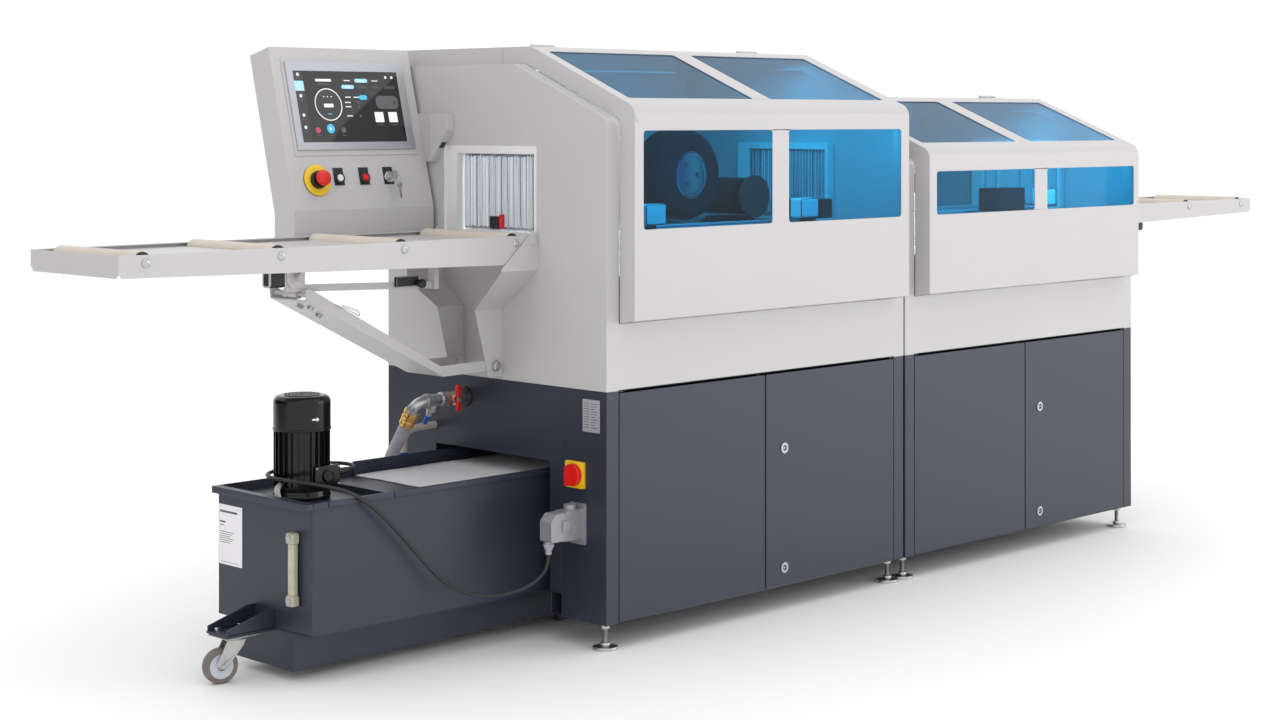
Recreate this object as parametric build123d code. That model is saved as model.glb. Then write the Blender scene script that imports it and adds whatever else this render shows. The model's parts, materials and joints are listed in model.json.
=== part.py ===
"""Two-module edge tuning machine with folding roller tables and a slide-out coolant tank.

Working frame: x from the infeed end wall, y from the door plane back, z up from the floor,
millimetres. Everything is moved on export, so that the stored origin lies on the floor in the
middle of the whole machine: +X towards the outfeed end, +Y to the back, +Z up.
"""
from build123d import *
import math
import os

# ---- driving dimensions -------------------------------------------------------------------
SHEET = 3.0                     # cabinet sheet
MODULE_WIDTH = 1150.0
MODULE_GAP = 8.0
DEPTH = 834.0
MODULES = (0.0, MODULE_WIDTH + MODULE_GAP)
MACHINE_LENGTH = 2 * MODULE_WIDTH + MODULE_GAP
MIDDLE = MACHINE_LENGTH / 2
DROP = 118.0                    # the second module is this much lower
ORIGIN_Y = 390.0                # middle of the depth of the whole machine
PILLAR = 42.0
CABINET_BOTTOM = 64.0
CABINET_TOP = 626.0
DOOR_TOP = 620.0
DOOR_GAP = 4.0
HINGE_INSET = 9.0               # hinge pin's axis behind the leaf's edge
HINGE_Y = 5.5
HINGE_PIN = 2.2
SHOULDER_Z = 1282.0             # where the body's front turns into its slope
ROOF_Z = 1422.0
SLOPE = math.tan(math.radians(22.5))
ROOF_Y = (ROOF_Z - SHOULDER_Z) / SLOPE
SEAM_Y = 422.0                  # hood hinge line
HOOD_FRONT = -54.0
HOOD_BACK = -2.0                # plane where the hood meets the pillars
HOOD_CORNER_Z = 1313.0
HOOD_TOP = 1466.0
HOOD_RADIUS = 35.0
HOOD_AXIS = (0.5, 5.0)          # hinge axis behind the seam and above the roof
HOOD_PIN = 2.5
HOOD_HINGES = (180.0, 970.0)    # middles of the two hinges of a hood
PASSAGE = (249.0, 608.0, 991.0, 1215.0)     # y and z limits of the ski passage
BAY = (200.0, 636.0, 440.0)                 # y limits and top of the tank bay
BAY_DEPTH = 330.0
DECK_Z = 900.0
SKI_Z = 1001.0                  # running height of the skis
TABLE_FRONT = 250.0
TABLE_BACK = 608.0
TABLE_END = -1186.0
TABLE_TOP = 995.0
FOLD = (-18.0, 981.0)           # x and z of the table's fold axis
ROLLERS = (-1119.0, -769.0, -418.0, -68.0)
ROLLER_Z = 977.0
ROLLER_R = 25.0
STRUT = (-24.0, 662.0)
STRUT_BOLTS = ((-578.0, 439.0), (-573.0, 406.0), (-530.0, 431.0))    # x and y under the web
TANK = (-694.0, 250.0, 238.0, 604.0, 112.0, 416.0)      # x, y and z limits
MOTOR = (-588.0, 420.0)
TILT = math.radians(15)
SCREEN_FOLD = (634.0, 1056.0)   # y and z where the control panel starts to lean back
CASTER = (-776.0, 418.0)
CASTER_YAW = 165.6
TYRE = (688.0, 1129.0)
RUNNING = 0.05                  # radial clearance of a shaft in its hole
AXIS_TURN = {"x": (0, 90, 0), "y": (-90, 0, 0), "z": (0, 0, 0)}


# ---- simple shapes ------------------------------------------------------------------------
def box(x0, x1, y0, y1, z0, z1):
    return Pos((x0 + x1) / 2, (y0 + y1) / 2, (z0 + z1) / 2) * Box(x1 - x0, y1 - y0, z1 - z0)


def rod(axis, a, b, radius, low, high):
    """Cylinder along an axis from low to high; a and b are its other two coordinates."""
    middle = (low + high) / 2
    centre = {"x": (middle, a, b), "y": (a, middle, b), "z": (a, b, middle)}[axis]
    return Location(centre, AXIS_TURN[axis]) * Cylinder(radius, high - low)


def ring(axis, a, b, outer, inner, low, high):
    return rod(axis, a, b, outer, low, high) - rod(axis, a, b, inner, low - 1, high + 1)


def prism(axis, points, low, high, radii=None):
    """Outline across an axis, pushed from low to high along it; radii round its corners."""
    place = {
        "x": lambda a, b: (low, a, b),
        "y": lambda a, b: (a, low, b),
        "z": lambda a, b: (a, b, low),
    }[axis]
    direction = {"x": (1, 0, 0), "y": (0, 1, 0), "z": (0, 0, 1)}[axis]
    corners = [place(a, b) for a, b in points]
    if radii is None:
        outline = Polyline(*corners, close=True)
    else:
        outline = FilletPolyline(*corners, radius=radii, close=True)
    return extrude(make_face(outline.edges()), high - low, dir=direction)


def rounded_box(x0, x1, y0, y1, z0, z1, radius, axis):
    """Box whose four edges along one axis are rounded."""
    block = box(x0, x1, y0, y1, z0, z1)
    along = {"x": Axis.X, "y": Axis.Y, "z": Axis.Z}[axis]
    return fillet(block.edges().filter_by(along), radius)


def hexagon(axis, a, b, across, low, high):
    """Hexagonal nut or head along an axis."""
    size = across / math.sqrt(3)
    points = []
    for corner in range(6):
        angle = math.radians(60 * corner)
        points.append((a + size * math.cos(angle), b + size * math.sin(angle)))
    return prism(axis, points, low, high)


def lean_point(s, h):
    """Point (y, z) of the control panel: s up its leaning face, h out of it."""
    y = SCREEN_FOLD[0] + s * math.sin(TILT) - h * math.cos(TILT)
    return y, SCREEN_FOLD[1] + s * math.cos(TILT) + h * math.sin(TILT)


def panel_place(x, s, h=0.0):
    """Place on the leaning face of the control panel: along it, up it and out of it."""
    y, z = lean_point(s, h)
    normal = (0, -math.cos(TILT), math.sin(TILT))
    return Plane(origin=(x, y, z), x_dir=(1, 0, 0), z_dir=normal)


def panel_block(x0, x1, s0, s1, h0, h1):
    middle = panel_place((x0 + x1) / 2, (s0 + s1) / 2, (h0 + h1) / 2)
    return middle * Box(x1 - x0, s1 - s0, h1 - h0)


def panel_rod(x, s, radius, h0, h1):
    return panel_place(x, s, (h0 + h1) / 2) * Cylinder(radius, h1 - h0)


def save(name, *solids):
    """Write one node, moved to the stored frame."""
    flat = []
    for item in solids:
        flat.extend(item if isinstance(item, list) else [item])
    moved = [item.moved(Location((-MIDDLE, -ORIGIN_Y, 0))) for item in flat]
    shape = moved[0] if len(moved) == 1 else Compound(children=moved)
    export_step(shape, f"parts/{name}.step")


def other_end(solids):
    """The same pieces mirrored to the outfeed end."""
    return [mirror(item, about=Plane.YZ.offset(MIDDLE)) for item in solids]


# ---- lower cabinets -----------------------------------------------------------------------
def end_wall(x0, x1, with_bay):
    """Lower end wall; the infeed end has the tank bay cut out of it."""
    if not with_bay:
        return [box(x0, x1, SHEET, DEPTH, CABINET_BOTTOM, CABINET_TOP)]
    front, back, top = BAY
    notch_y, notch_z = 159.0, 120.0
    return [
        box(x0, x1, SHEET, notch_y, CABINET_BOTTOM, CABINET_TOP),
        box(x0, x1, notch_y, front, notch_z, CABINET_TOP),
        box(x0, x1, back, DEPTH, CABINET_BOTTOM, CABINET_TOP),
        box(x0, x1, front, back, top, CABINET_TOP),
    ]


def tank_bay():
    """Sheet lining that keeps the tank bay apart from the cabinet."""
    front, back, top = BAY
    low = CABINET_BOTTOM + SHEET
    return [
        box(SHEET, BAY_DEPTH, front - SHEET, front, low, top),
        box(SHEET, BAY_DEPTH, back, back + SHEET, low, top),
        box(SHEET, BAY_DEPTH, front - SHEET, back + SHEET, top, top + SHEET),
        box(BAY_DEPTH, BAY_DEPTH + SHEET, front - SHEET, back + SHEET, low, top + SHEET),
    ]


def cabinet_floor(x, with_bay):
    """Floor sheets, drilled for the lower pins of the doors."""
    low, high = CABINET_BOTTOM, CABINET_BOTTOM + SHEET
    left, right = x + SHEET, x + MODULE_WIDTH - SHEET
    if with_bay:
        front, back, _ = BAY
        sheets = [
            box(left, BAY_DEPTH, SHEET, front, low, high),
            box(left, BAY_DEPTH, back, DEPTH - SHEET, low, high),
            box(BAY_DEPTH, right, SHEET, DEPTH - SHEET, low, high),
        ]
    else:
        sheets = [box(left, right, SHEET, DEPTH - SHEET, low, high)]
    drills = [rod("z", axis, HINGE_Y, HINGE_PIN + RUNNING, low - 1, high + 1) for axis in door_axes(x)]
    sheets[0] = sheets[0] - drills[0]
    sheets[-1] = sheets[-1] - drills[1]
    return sheets


def door_axes(x):
    """Hinge axes of a module's two doors."""
    edge = PILLAR + 2 + HINGE_INSET
    return x + edge, x + MODULE_WIDTH - edge


def hinge_plate(axis):
    """Plate under the cabinet's top rail that holds a door's upper pin."""
    plate = box(axis - 8, axis + 8, 1, 10, CABINET_TOP - SHEET, CABINET_TOP)
    return plate - rod("z", axis, HINGE_Y, HINGE_PIN + RUNNING, CABINET_TOP - 4, CABINET_TOP + 1)


def door_hinge(axis):
    """Upper and lower hinge lug of a door, each with its pin."""
    lower = box(axis - 4.5, axis + 4.5, SHEET, 10, 90, 130)
    upper = box(axis - 4.5, axis + 4.5, SHEET, 10, 560, 600)
    return [
        lower + rod("z", axis, HINGE_Y, HINGE_PIN, CABINET_BOTTOM, 130),
        upper + rod("z", axis, HINGE_Y, HINGE_PIN, 560, CABINET_TOP),
    ]


def pillar(x, z0, z1):
    """Front face of a corner post, with its rounded outer edge."""
    post = box(x, x + PILLAR, 0, SHEET, z0, z1)
    return fillet(post.edges().filter_by(Axis.Z).group_by(Axis.Y)[0], 2.0)


def lower_cabinet(x, with_bay):
    right = x + MODULE_WIDTH
    solids = end_wall(x, x + SHEET, with_bay)
    solids += end_wall(right - SHEET, right, False)
    solids += cabinet_floor(x, with_bay)
    solids += [pillar(x, CABINET_BOTTOM, CABINET_TOP)]
    solids += [pillar(right - PILLAR, CABINET_BOTTOM, CABINET_TOP)]
    solids.append(box(x + SHEET, right - SHEET, DEPTH - SHEET, DEPTH, CABINET_BOTTOM, CABINET_TOP))
    solids.append(box(x + SHEET, right - SHEET, 10, 45, DOOR_TOP + 3, CABINET_TOP))
    centre = x + MODULE_WIDTH / 2
    solids.append(box(centre - 9, centre + 9, 26, 50, CABINET_BOTTOM + SHEET, DOOR_TOP + 3))
    solids += [hinge_plate(axis) for axis in door_axes(x)]
    if with_bay:
        solids += tank_bay()
        for y in (60, 760):
            solids.append(box(right, right + MODULE_GAP, y - 25, y + 25, 500, 560))
    return solids


def levelling_feet():
    """Eight feet: disc with a raised hub, threaded stem, locknut."""
    solids = []
    for x0 in MODULES:
        for x in (x0 + 30, x0 + MODULE_WIDTH - 30):
            for y in (35, 799):
                disc = rod("z", x, y, 31, 0, 7) + rod("z", x, y, 11, 7, 16)
                solids.append(disc + rod("z", x, y, 5.5, 16, CABINET_BOTTOM))
                nut = hexagon("z", x, y, 19, 50, 60)
                solids.append(nut - rod("z", x, y, 5.5 + RUNNING, 49, 61))
    return solids


def door(x0, x1):
    """Flat leaf with a folded stiffening pan behind it."""
    foot = CABINET_BOTTOM + SHEET + 0.5
    leaf = box(x0, x1, 0, SHEET, foot, DOOR_TOP)
    leaf = fillet(leaf.edges().filter_by(Axis.Z).group_by(Axis.Y)[0], 1.5)
    inset, fold, thick = 14, 20, 2
    low, high = foot + inset, DOOR_TOP - inset
    left, right = x0 + inset, x1 - inset
    return [
        leaf,
        box(left, left + thick, SHEET, fold, low, high),
        box(right - thick, right, SHEET, fold, low, high),
        box(left + thick, right - thick, SHEET, fold, low, low + thick),
        box(left + thick, right - thick, SHEET, fold, high - thick, high),
    ]


LOCK_OFFSET = 73.0
LOCK_HEIGHTS = (424.0, 112.0)
LOCK_R = 9.0


def lock_holes(solids, x):
    drilled = solids[0]
    for z in LOCK_HEIGHTS:
        drilled = drilled - rod("y", x, z, LOCK_R + RUNNING, -5, 10)
    return [drilled] + solids[1:]


def door_lock(x, z):
    """Quarter-turn lock: flanged barrel with a socket, square shank, latch tongue."""
    barrel = rod("y", x, z, 14, -2.5, 0) + rod("y", x, z, LOCK_R, -2.5, 22)
    barrel = barrel - rod("y", x, z, 7.5, -3.5, 4) + box(x - 5, x + 5, -1, 5, z - 1.8, z + 1.8)
    return barrel + box(x - 26, x + 8, 22, 25, z - 8, z + 8)


# ---- upper housings -----------------------------------------------------------------------
def slope_z(y, drop):
    return SHOULDER_Z - drop + SLOPE * y


def passage_wall(x0, x1, drop):
    """Upper end wall in four sheets round the ski passage."""
    y0, y1, z0, z1 = PASSAGE
    roof = ROOF_Z - drop
    shoulder = SHOULDER_Z - drop
    front = [(0, z0), (y0, z0), (y0, slope_z(y0, drop)), (0, shoulder)]
    top = [(y0, z1), (y1, z1), (y1, roof), (ROOF_Y, roof), (y0, slope_z(y0, drop))]
    return [
        box(x0, x1, 0, DEPTH, CABINET_TOP, z0),
        prism("x", front, x0, x1, radii=[0, 0, 0, 25]),
        box(x0, x1, y1, DEPTH, z0, roof),
        prism("x", top, x0, x1),
    ]


def front_frame(x0, x1, drop):
    """Pillar face, sloped strip and roof strip beside the hood."""
    roof = ROOF_Z - drop
    shoulder = SHOULDER_Z - drop
    start = shoulder - 20
    strip = [
        (0, start), (0, shoulder), (ROOF_Y, roof), (SEAM_Y, roof),
        (SEAM_Y, roof - SHEET), (ROOF_Y + 1, roof - SHEET), (SHEET, shoulder - 2), (SHEET, start),
    ]
    return [
        box(x0, x1, 0, SHEET, CABINET_TOP, start),
        prism("x", strip, x0, x1, radii=[0, 25, 12, 0, 0, 9, 22, 0]),
    ]


def rear_top(x, drop):
    """Fixed box behind the hood's hinge line, and the strips beside it."""
    roof, top = ROOF_Z - drop, HOOD_TOP - drop
    left, right = x + PILLAR, x + MODULE_WIDTH - PILLAR
    wall = [
        box(left, right, SEAM_Y + 1, DEPTH, top - SHEET, top),
        box(left, left + SHEET, SEAM_Y + 1, DEPTH - SHEET, roof, top - SHEET),
        box(right - SHEET, right, SEAM_Y + 1, DEPTH - SHEET, roof, top - SHEET),
        box(left, right, DEPTH - SHEET, DEPTH, roof, top - SHEET),
        box(x + SHEET, left + SHEET, SEAM_Y, DEPTH, roof - SHEET, roof),
        box(right - SHEET, x + MODULE_WIDTH - SHEET, SEAM_Y, DEPTH, roof - SHEET, roof),
    ]
    return wall


def upper_body(x, drop):
    right = x + MODULE_WIDTH
    roof = ROOF_Z - drop
    inner = x + PILLAR
    outer = right - PILLAR
    solids = passage_wall(x, x + SHEET, drop) + passage_wall(right - SHEET, right, drop)
    solids += front_frame(x + SHEET, inner, drop) + front_frame(outer, right - SHEET, drop)
    solids += rear_top(x, drop)
    solids.append(box(inner, outer, 0, SHEET, CABINET_TOP + 2, 787))
    solids.append(box(inner, outer, SHEET, 24, 784, 787))
    solids.append(box(x + SHEET, right - SHEET, DEPTH - SHEET, DEPTH, CABINET_TOP, roof - SHEET))
    return solids


# ---- hoods --------------------------------------------------------------------------------
def hood_outline(drop):
    """Section of the hood between its outer skin and the body's front."""
    corner, top = HOOD_CORNER_Z - drop, HOOD_TOP - drop
    bend_y = HOOD_FRONT + (top - corner) / SLOPE
    lip = ROOF_Z + 1 - drop
    inner_turn = SHOULDER_Z + 1.5 - drop
    inner_roof = HOOD_BACK + (lip - inner_turn) / SLOPE
    return [
        (HOOD_FRONT, 797), (HOOD_FRONT, corner), (bend_y, top), (SEAM_Y, top),
        (SEAM_Y, lip), (inner_roof, lip), (HOOD_BACK, inner_turn), (HOOD_BACK, 789),
    ]


def hood_skin(x0, x1, drop):
    """Bent outer sheet of the hood, still without its windows."""
    corner, top = HOOD_CORNER_Z - drop, HOOD_TOP - drop
    bend_y = HOOD_FRONT + (top - corner) / SLOPE
    thick = SHEET
    shift = thick * math.tan(math.radians(22.5 / 2))
    inner_corner = corner - thick * math.tan(math.radians(67.5 / 2))
    points = [
        (HOOD_FRONT, 797), (HOOD_FRONT, corner), (bend_y, top), (SEAM_Y, top),
        (SEAM_Y, top - thick), (bend_y + shift, top - thick),
        (HOOD_FRONT + thick, inner_corner), (HOOD_FRONT + thick, 797),
    ]
    inner_r = HOOD_RADIUS - thick
    radii = [0, HOOD_RADIUS, HOOD_RADIUS, 0, 0, inner_r, inner_r, 0]
    return prism("x", points, x0, x1, radii=radii)


def window_cut(x0, x1, low, high, lean, drop):
    """Rounded window opening, through the front sheet or the leaning one."""
    radius = 9
    if not lean:
        return rounded_box(x0, x1, HOOD_FRONT - 20, HOOD_FRONT + 20, low, high, radius, "y")
    angle = math.degrees(math.atan(SLOPE))
    length = (high - low) / math.cos(math.radians(angle))
    middle_y = (low + high) / 2
    middle_z = HOOD_CORNER_Z - drop + SLOPE * (middle_y - HOOD_FRONT)
    block = Box(x1 - x0, length, 40)
    block = fillet(block.edges().filter_by(Axis.Z), radius)
    return Location(((x0 + x1) / 2, middle_y, middle_z), (angle, 0, 0)) * block


FRONT_WINDOWS = (
    ((73.0, 542.0), (606.0, 1073.0)),
    ((1233.0, 1706.0), (1770.0, 2239.0)),
)
SLOPE_WINDOWS = (
    ((74.0, 527.0), (592.0, 1060.0)),
    ((1232.0, 1685.0), (1754.0, 2220.0)),
)
FRONT_WINDOW_Z = ((1016.0, 1255.0), (1016.0, 1136.5))
SLOPE_WINDOW_Y = (-2.0, 287.0)


def hood(index, drop):
    x = MODULES[index]
    left, right = x + PILLAR, x + MODULE_WIDTH - PILLAR
    skin = hood_skin(left, right, drop)
    for x0, x1 in FRONT_WINDOWS[index]:
        skin = skin - window_cut(x0, x1, *FRONT_WINDOW_Z[index], False, drop)
    for x0, x1 in SLOPE_WINDOWS[index]:
        skin = skin - window_cut(x0, x1, *SLOPE_WINDOW_Y, True, drop)
    front_top = HOOD_CORNER_Z - drop - HOOD_RADIUS * math.tan(math.radians(67.5 / 2))
    front = skin & box(left, right, HOOD_FRONT - 1, HOOD_FRONT + 20, 0, front_top)
    rest = skin & box(left, right, HOOD_FRONT - 1, SEAM_Y + 1, front_top, HOOD_TOP + 10)
    section = prism("x", hood_outline(drop), left, left + SHEET,
                    radii=[0, HOOD_RADIUS, HOOD_RADIUS, 0, 0, 0, 0, 0])
    section = section & hood_side_space(drop, left, right)
    flanges = [section, section.moved(Location((right - left - SHEET, 0, 0)))]
    cut = [split_side(flange, front_top) for flange in flanges]
    bottom = prism("x", [(HOOD_FRONT + SHEET, 796.5), (HOOD_BACK, 789), (HOOD_BACK, 792),
                         (HOOD_FRONT + SHEET, 799.5)], left + SHEET, right - SHEET)
    return [front, rest, bottom] + [piece for pair in cut for piece in pair]


def hood_side_space(drop, left, right):
    """Everything inside the bent sheet, so that the side faces stop against it."""
    corner, top = HOOD_CORNER_Z - drop, HOOD_TOP - drop
    bend_y = HOOD_FRONT + (top - corner) / SLOPE
    shift = SHEET * math.tan(math.radians(22.5 / 2))
    inner_corner = corner - SHEET * math.tan(math.radians(67.5 / 2))
    inner_r = HOOD_RADIUS - SHEET
    points = [
        (HOOD_FRONT + SHEET, 700), (HOOD_FRONT + SHEET, inner_corner), (bend_y + shift, top - SHEET),
        (SEAM_Y, top - SHEET), (SEAM_Y, 700),
    ]
    return prism("x", points, left, right, radii=[0, inner_r, inner_r, 0, 0])


def hinge_half(x, drop, leaf, knuckles):
    """Hinge leaf on the roof with its knuckles round the hood's axis."""
    top = HOOD_TOP - drop
    y, z = SEAM_Y + HOOD_AXIS[0], top + HOOD_AXIS[1]
    half = box(x - 40, x + 40, *leaf, top, top + 2.2)
    for low, high in knuckles:
        reach = sorted((y, leaf[1] if leaf[1] < y else leaf[0]))
        half = half + box(x + low, x + high, *reach, top, top + 2.2)
        half = half + ring("x", y, z, HOOD_AXIS[1], HOOD_PIN + RUNNING, x + low, x + high)
    return half


def hood_hinges(index, drop):
    """Moving and fixed halves of a hood's two hinges; the fixed ones hold the pin."""
    moving, fixed = [], []
    y, z = SEAM_Y + HOOD_AXIS[0], HOOD_TOP - drop + HOOD_AXIS[1]
    for offset in HOOD_HINGES:
        x = MODULES[index] + offset
        moving.append(hinge_half(x, drop, (SEAM_Y - 30, SEAM_Y - 6), [(-15, 15)]))
        outer = hinge_half(x, drop, (SEAM_Y + 7, SEAM_Y + 31), [(-40, -15.3), (15.3, 40)])
        fixed.append(outer + rod("x", y, z, HOOD_PIN, x - 40, x + 40))
    return moving, fixed


def split_side(flange, level):
    """Cut a side face where the front turns into the slope."""
    far = 5000
    below = flange & box(-far, far, -far, far, 0, level - 40)
    above = flange & box(-far, far, -far, far, level - 40, far)
    return below, above


def hood_panes(index, drop):
    """Tinted panes, glued behind the window openings."""
    behind = HOOD_FRONT + SHEET
    lap = 12
    angle = math.degrees(math.atan(SLOPE))
    panes = []
    low, high = FRONT_WINDOW_Z[index]
    for x0, x1 in FRONT_WINDOWS[index]:
        panes.append(box(x0 - lap, x1 + lap, behind, behind + 4, low - lap, high + lap))
    for x0, x1 in SLOPE_WINDOWS[index]:
        y0, y1 = SLOPE_WINDOW_Y
        length = (y1 - y0) / math.cos(math.radians(angle)) + 2 * lap
        middle_y = (y0 + y1) / 2
        middle_z = HOOD_CORNER_Z - drop + SLOPE * (middle_y - HOOD_FRONT)
        place = Location(((x0 + x1) / 2, middle_y, middle_z), (angle, 0, 0))
        panes.append(place * Pos(0, 0, -SHEET - 2) * Box(x1 - x0 + 2 * lap, length, 4))
    return panes


# ---- ski passage --------------------------------------------------------------------------
def passage_trim(x, side):
    """White jamb, sill and head just inside an end wall; side is +1 inside a left wall."""
    y0, y1, z0, z1 = PASSAGE
    a, b = sorted((x, x + side * 30))
    clear = 0.4
    return [
        box(a, b, 553, y1 - 14, z0 + clear, z1 - clear),
        box(a, b, y0 + clear, 553, z0 + clear, SKI_Z - 2),
        box(a, b, y0 + clear, 553, z1 - 19, z1 - clear),
        box(a, b, y0 + clear, y0 + 9, SKI_Z - 2, z1 - 19),
    ]


def strip_curtain(x):
    """Overlapping clear strips hung across the passage."""
    _, _, _, z1 = PASSAGE
    first, last, count = 262.0, 548.0, 12
    pitch = (last - first) / count
    strips = []
    for number in range(count):
        shift = 2.6 * (number % 2)
        start = first + number * pitch
        strips.append(box(x + shift, x + shift + 1.6, start, start + pitch + 4, SKI_Z + 2, z1 - 20))
    return strips


END_WALLS = ((0.0, 1), (MODULE_WIDTH, -1), (MODULES[1], 1), (MACHINE_LENGTH, -1))


# ---- working units inside -----------------------------------------------------------------
def transport_bed():
    """Drip deck of each module, with two slide rails that carry the skis."""
    solids = []
    for x in MODULES:
        left, right = x + SHEET, x + MODULE_WIDTH - SHEET
        solids.append(box(left, right, SHEET, DEPTH - SHEET, DECK_Z, DECK_Z + SHEET))
        for y in (300, 520):
            solids.append(box(left + 40, right - 40, y, y + 20, DECK_Z + SHEET, SKI_Z - 4))
            solids.append(box(left + 40, right - 40, y - 4, y + 24, SKI_Z - 4, SKI_Z - 1))
    return solids


def guide_block(x0, x1, y):
    return rounded_box(x0, x1, y, y + 40, 1015, 1067, 6, "y")


DISCS = ((940.0, 1064.0), (1158.0 + 520.0, 1056.0))
DISC_Y = 370.0


def grinder(x, z):
    """Disc motor on its pedestal, behind the abrasive disc."""
    motor = ring("y", x, z, 52, 8 + RUNNING, 400, 590)
    foot = box(x - 60, x + 60, 420, 500, DECK_Z + SHEET, z - 56)
    return [motor, foot - rod("y", x, z, 52.5, 380, 600)]


def grinder_units():
    solids = []
    for x, z in DISCS:
        solids += grinder(x, z)
    for x, y in ((236, 100), (832, 100), (1394, 130), (2010, 130)):
        solids.append(guide_block(x, x + 72, y))
        solids.append(box(x + 26, x + 46, y + 10, y + 30, DECK_Z + SHEET, 1015))
    solids.append(box(911, 1022, 150, 230, 1008, 1061))
    solids.append(box(955, 975, 170, 190, DECK_Z + SHEET, 1008))
    solids.append(box(1830, 1960, 160, 240, 1000, 1070))
    solids.append(box(1885, 1905, 190, 210, DECK_Z + SHEET, 1000))
    solids.append(box(850, 884, 548, 580, DECK_Z + SHEET, 1150))
    solids.append(rod("y", 867, 1120, 10, 484, 548))
    return solids


def press_arm():
    """Arm that presses the drive tyre down; it swings on a pin behind the tyre."""
    x, z = TYRE
    points = [(x - 22, z - 20), (887, 1096), (890, 1144), (840, 1190), (x - 22, z + 24)]
    arm = prism("y", points, 492, 508, radii=[14, 14, 14, 20, 14])
    arm = arm - rod("y", 867, 1120, 10 + RUNNING, 480, 520)
    return arm - rod("y", x, z, 12 + RUNNING, 480, 520)


def drive_rim():
    x, z = TYRE
    barrel = ring("y", x, z, 64.9, 58, 374, 486)
    web = ring("y", x, z, 58, 12, 430, 438)
    hub = ring("y", x, z, 24, 12, 410, 460)
    axle = rod("y", x, z, 12, 405, 512)
    return barrel + web + hub + axle


def drive_tyre():
    x, z = TYRE
    blank = rod("y", x, z, 124, 372, 488)
    blank = fillet(blank.edges().filter_by(GeomType.CIRCLE), 24)
    return blank - rod("y", x, z, 65, 360, 500)


def grinding_disc(x, z):
    backing = rod("y", x, z, 46, 372, 380)
    shaft = rod("y", x, z, 8, 380, 398)
    return rod("y", x, z, 59.5, 362, 372) + backing + shaft + rod("y", x, z, 14, 380, 392)


# ---- roller tables ------------------------------------------------------------------------
def table_side(y0, y1):
    """Tapered side plate with its free lower corner cut off."""
    points = [
        (TABLE_END, TABLE_TOP), (TABLE_END, 957), (TABLE_END + 10, 947), (-6, 923),
        (-6, 986), (-14, TABLE_TOP),
    ]
    plate = prism("y", points, y0, y1)
    return plate - rod("y", *FOLD, 8 + RUNNING, y0 - 1, y1 + 1)


def table_lips(y0, y1):
    """Top flange of a side plate, interrupted over each axle."""
    pieces = []
    half_gap = 13
    start = TABLE_END + SHEET
    for x in ROLLERS + (-14 + half_gap,):
        end = x - half_gap
        if end > start:
            pieces.append(box(start, end, y0, y1, TABLE_TOP - 2, TABLE_TOP))
        start = x + half_gap
    return pieces


def table_trays():
    """Sheet between the rollers, with its edges turned down."""
    pieces = []
    room = ROLLER_R + 6
    edges = [TABLE_END + SHEET] + [value for x in ROLLERS for value in (x - room, x + room)]
    front, back = TABLE_FRONT + SHEET, TABLE_BACK - SHEET
    for start, end in zip(edges[2::2], edges[3::2]):
        pieces.append(box(start, end, front, back, 984, 986))
        pieces.append(box(start, start + 2, front, back, 958, 984))
        pieces.append(box(end - 2, end, front, back, 958, 984))
    pieces.append(box(edges[0], edges[1], front, back, 984, 986))
    return pieces


def table_underside():
    """Guide bar on its hanger, catch plate with its bolt, bumper, latch and cross bars."""
    bar = [(-640, 897.8), (-213, 883.5), (-213, 867), (-640, 881.3)]
    catch = [(-652, 958), (-652, 905), (-638, 890), (-600, 890), (-600, 958)]
    solids = [prism("y", bar, 397, 403), prism("y", catch, 392, 397)]
    solids.append(box(-652, -640, 397, 403, 881.5, 958))
    solids.append(rod("y", -620, 915, 10, 378, 392))
    solids.append(rounded_box(-700, -653, 392, 420, 893, 958, 8, "x"))
    solids.append(rounded_box(-332, -264, 386, 397, 876, 900, 4, "y") + rod("y", -264.6, 882, 9, 386, 397))
    solids.append(box(-213, -198, 388, 412, 865, 958))
    for x in (-650, -370, -160):
        solids.append(box(x - 12, x + 12, TABLE_FRONT + SHEET, TABLE_BACK - SHEET, 958, 961))
    return solids


def roller_table():
    front, back = TABLE_FRONT, TABLE_BACK
    solids = [table_side(front, front + SHEET), table_side(back - SHEET, back)]
    solids += table_lips(front + SHEET, front + 14) + table_lips(back - 14, back - SHEET)
    end = [(front + SHEET, TABLE_TOP), (back - SHEET, TABLE_TOP), (back - SHEET, 957),
           (back - 12, 947), (front + 12, 947), (front + SHEET, 957)]
    solids.append(prism("x", end, TABLE_END, TABLE_END + SHEET))
    solids += table_trays() + table_underside()
    for x in ROLLERS:
        solids.append(rod("y", x, ROLLER_Z, 6, front + SHEET, back - SHEET))
        for y0, y1 in ((front - 4, front), (back, back + 4)):
            solids.append(rod("y", x, ROLLER_Z, 8.5, y0, y1))
    return solids


def roller(x):
    """Plain conveyor roller turning on its fixed axle."""
    body = rod("y", x, ROLLER_Z, ROLLER_R, TABLE_FRONT + 15, TABLE_BACK - 15)
    return body - rod("y", x, ROLLER_Z, 6 + RUNNING, TABLE_FRONT, TABLE_BACK)


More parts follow.
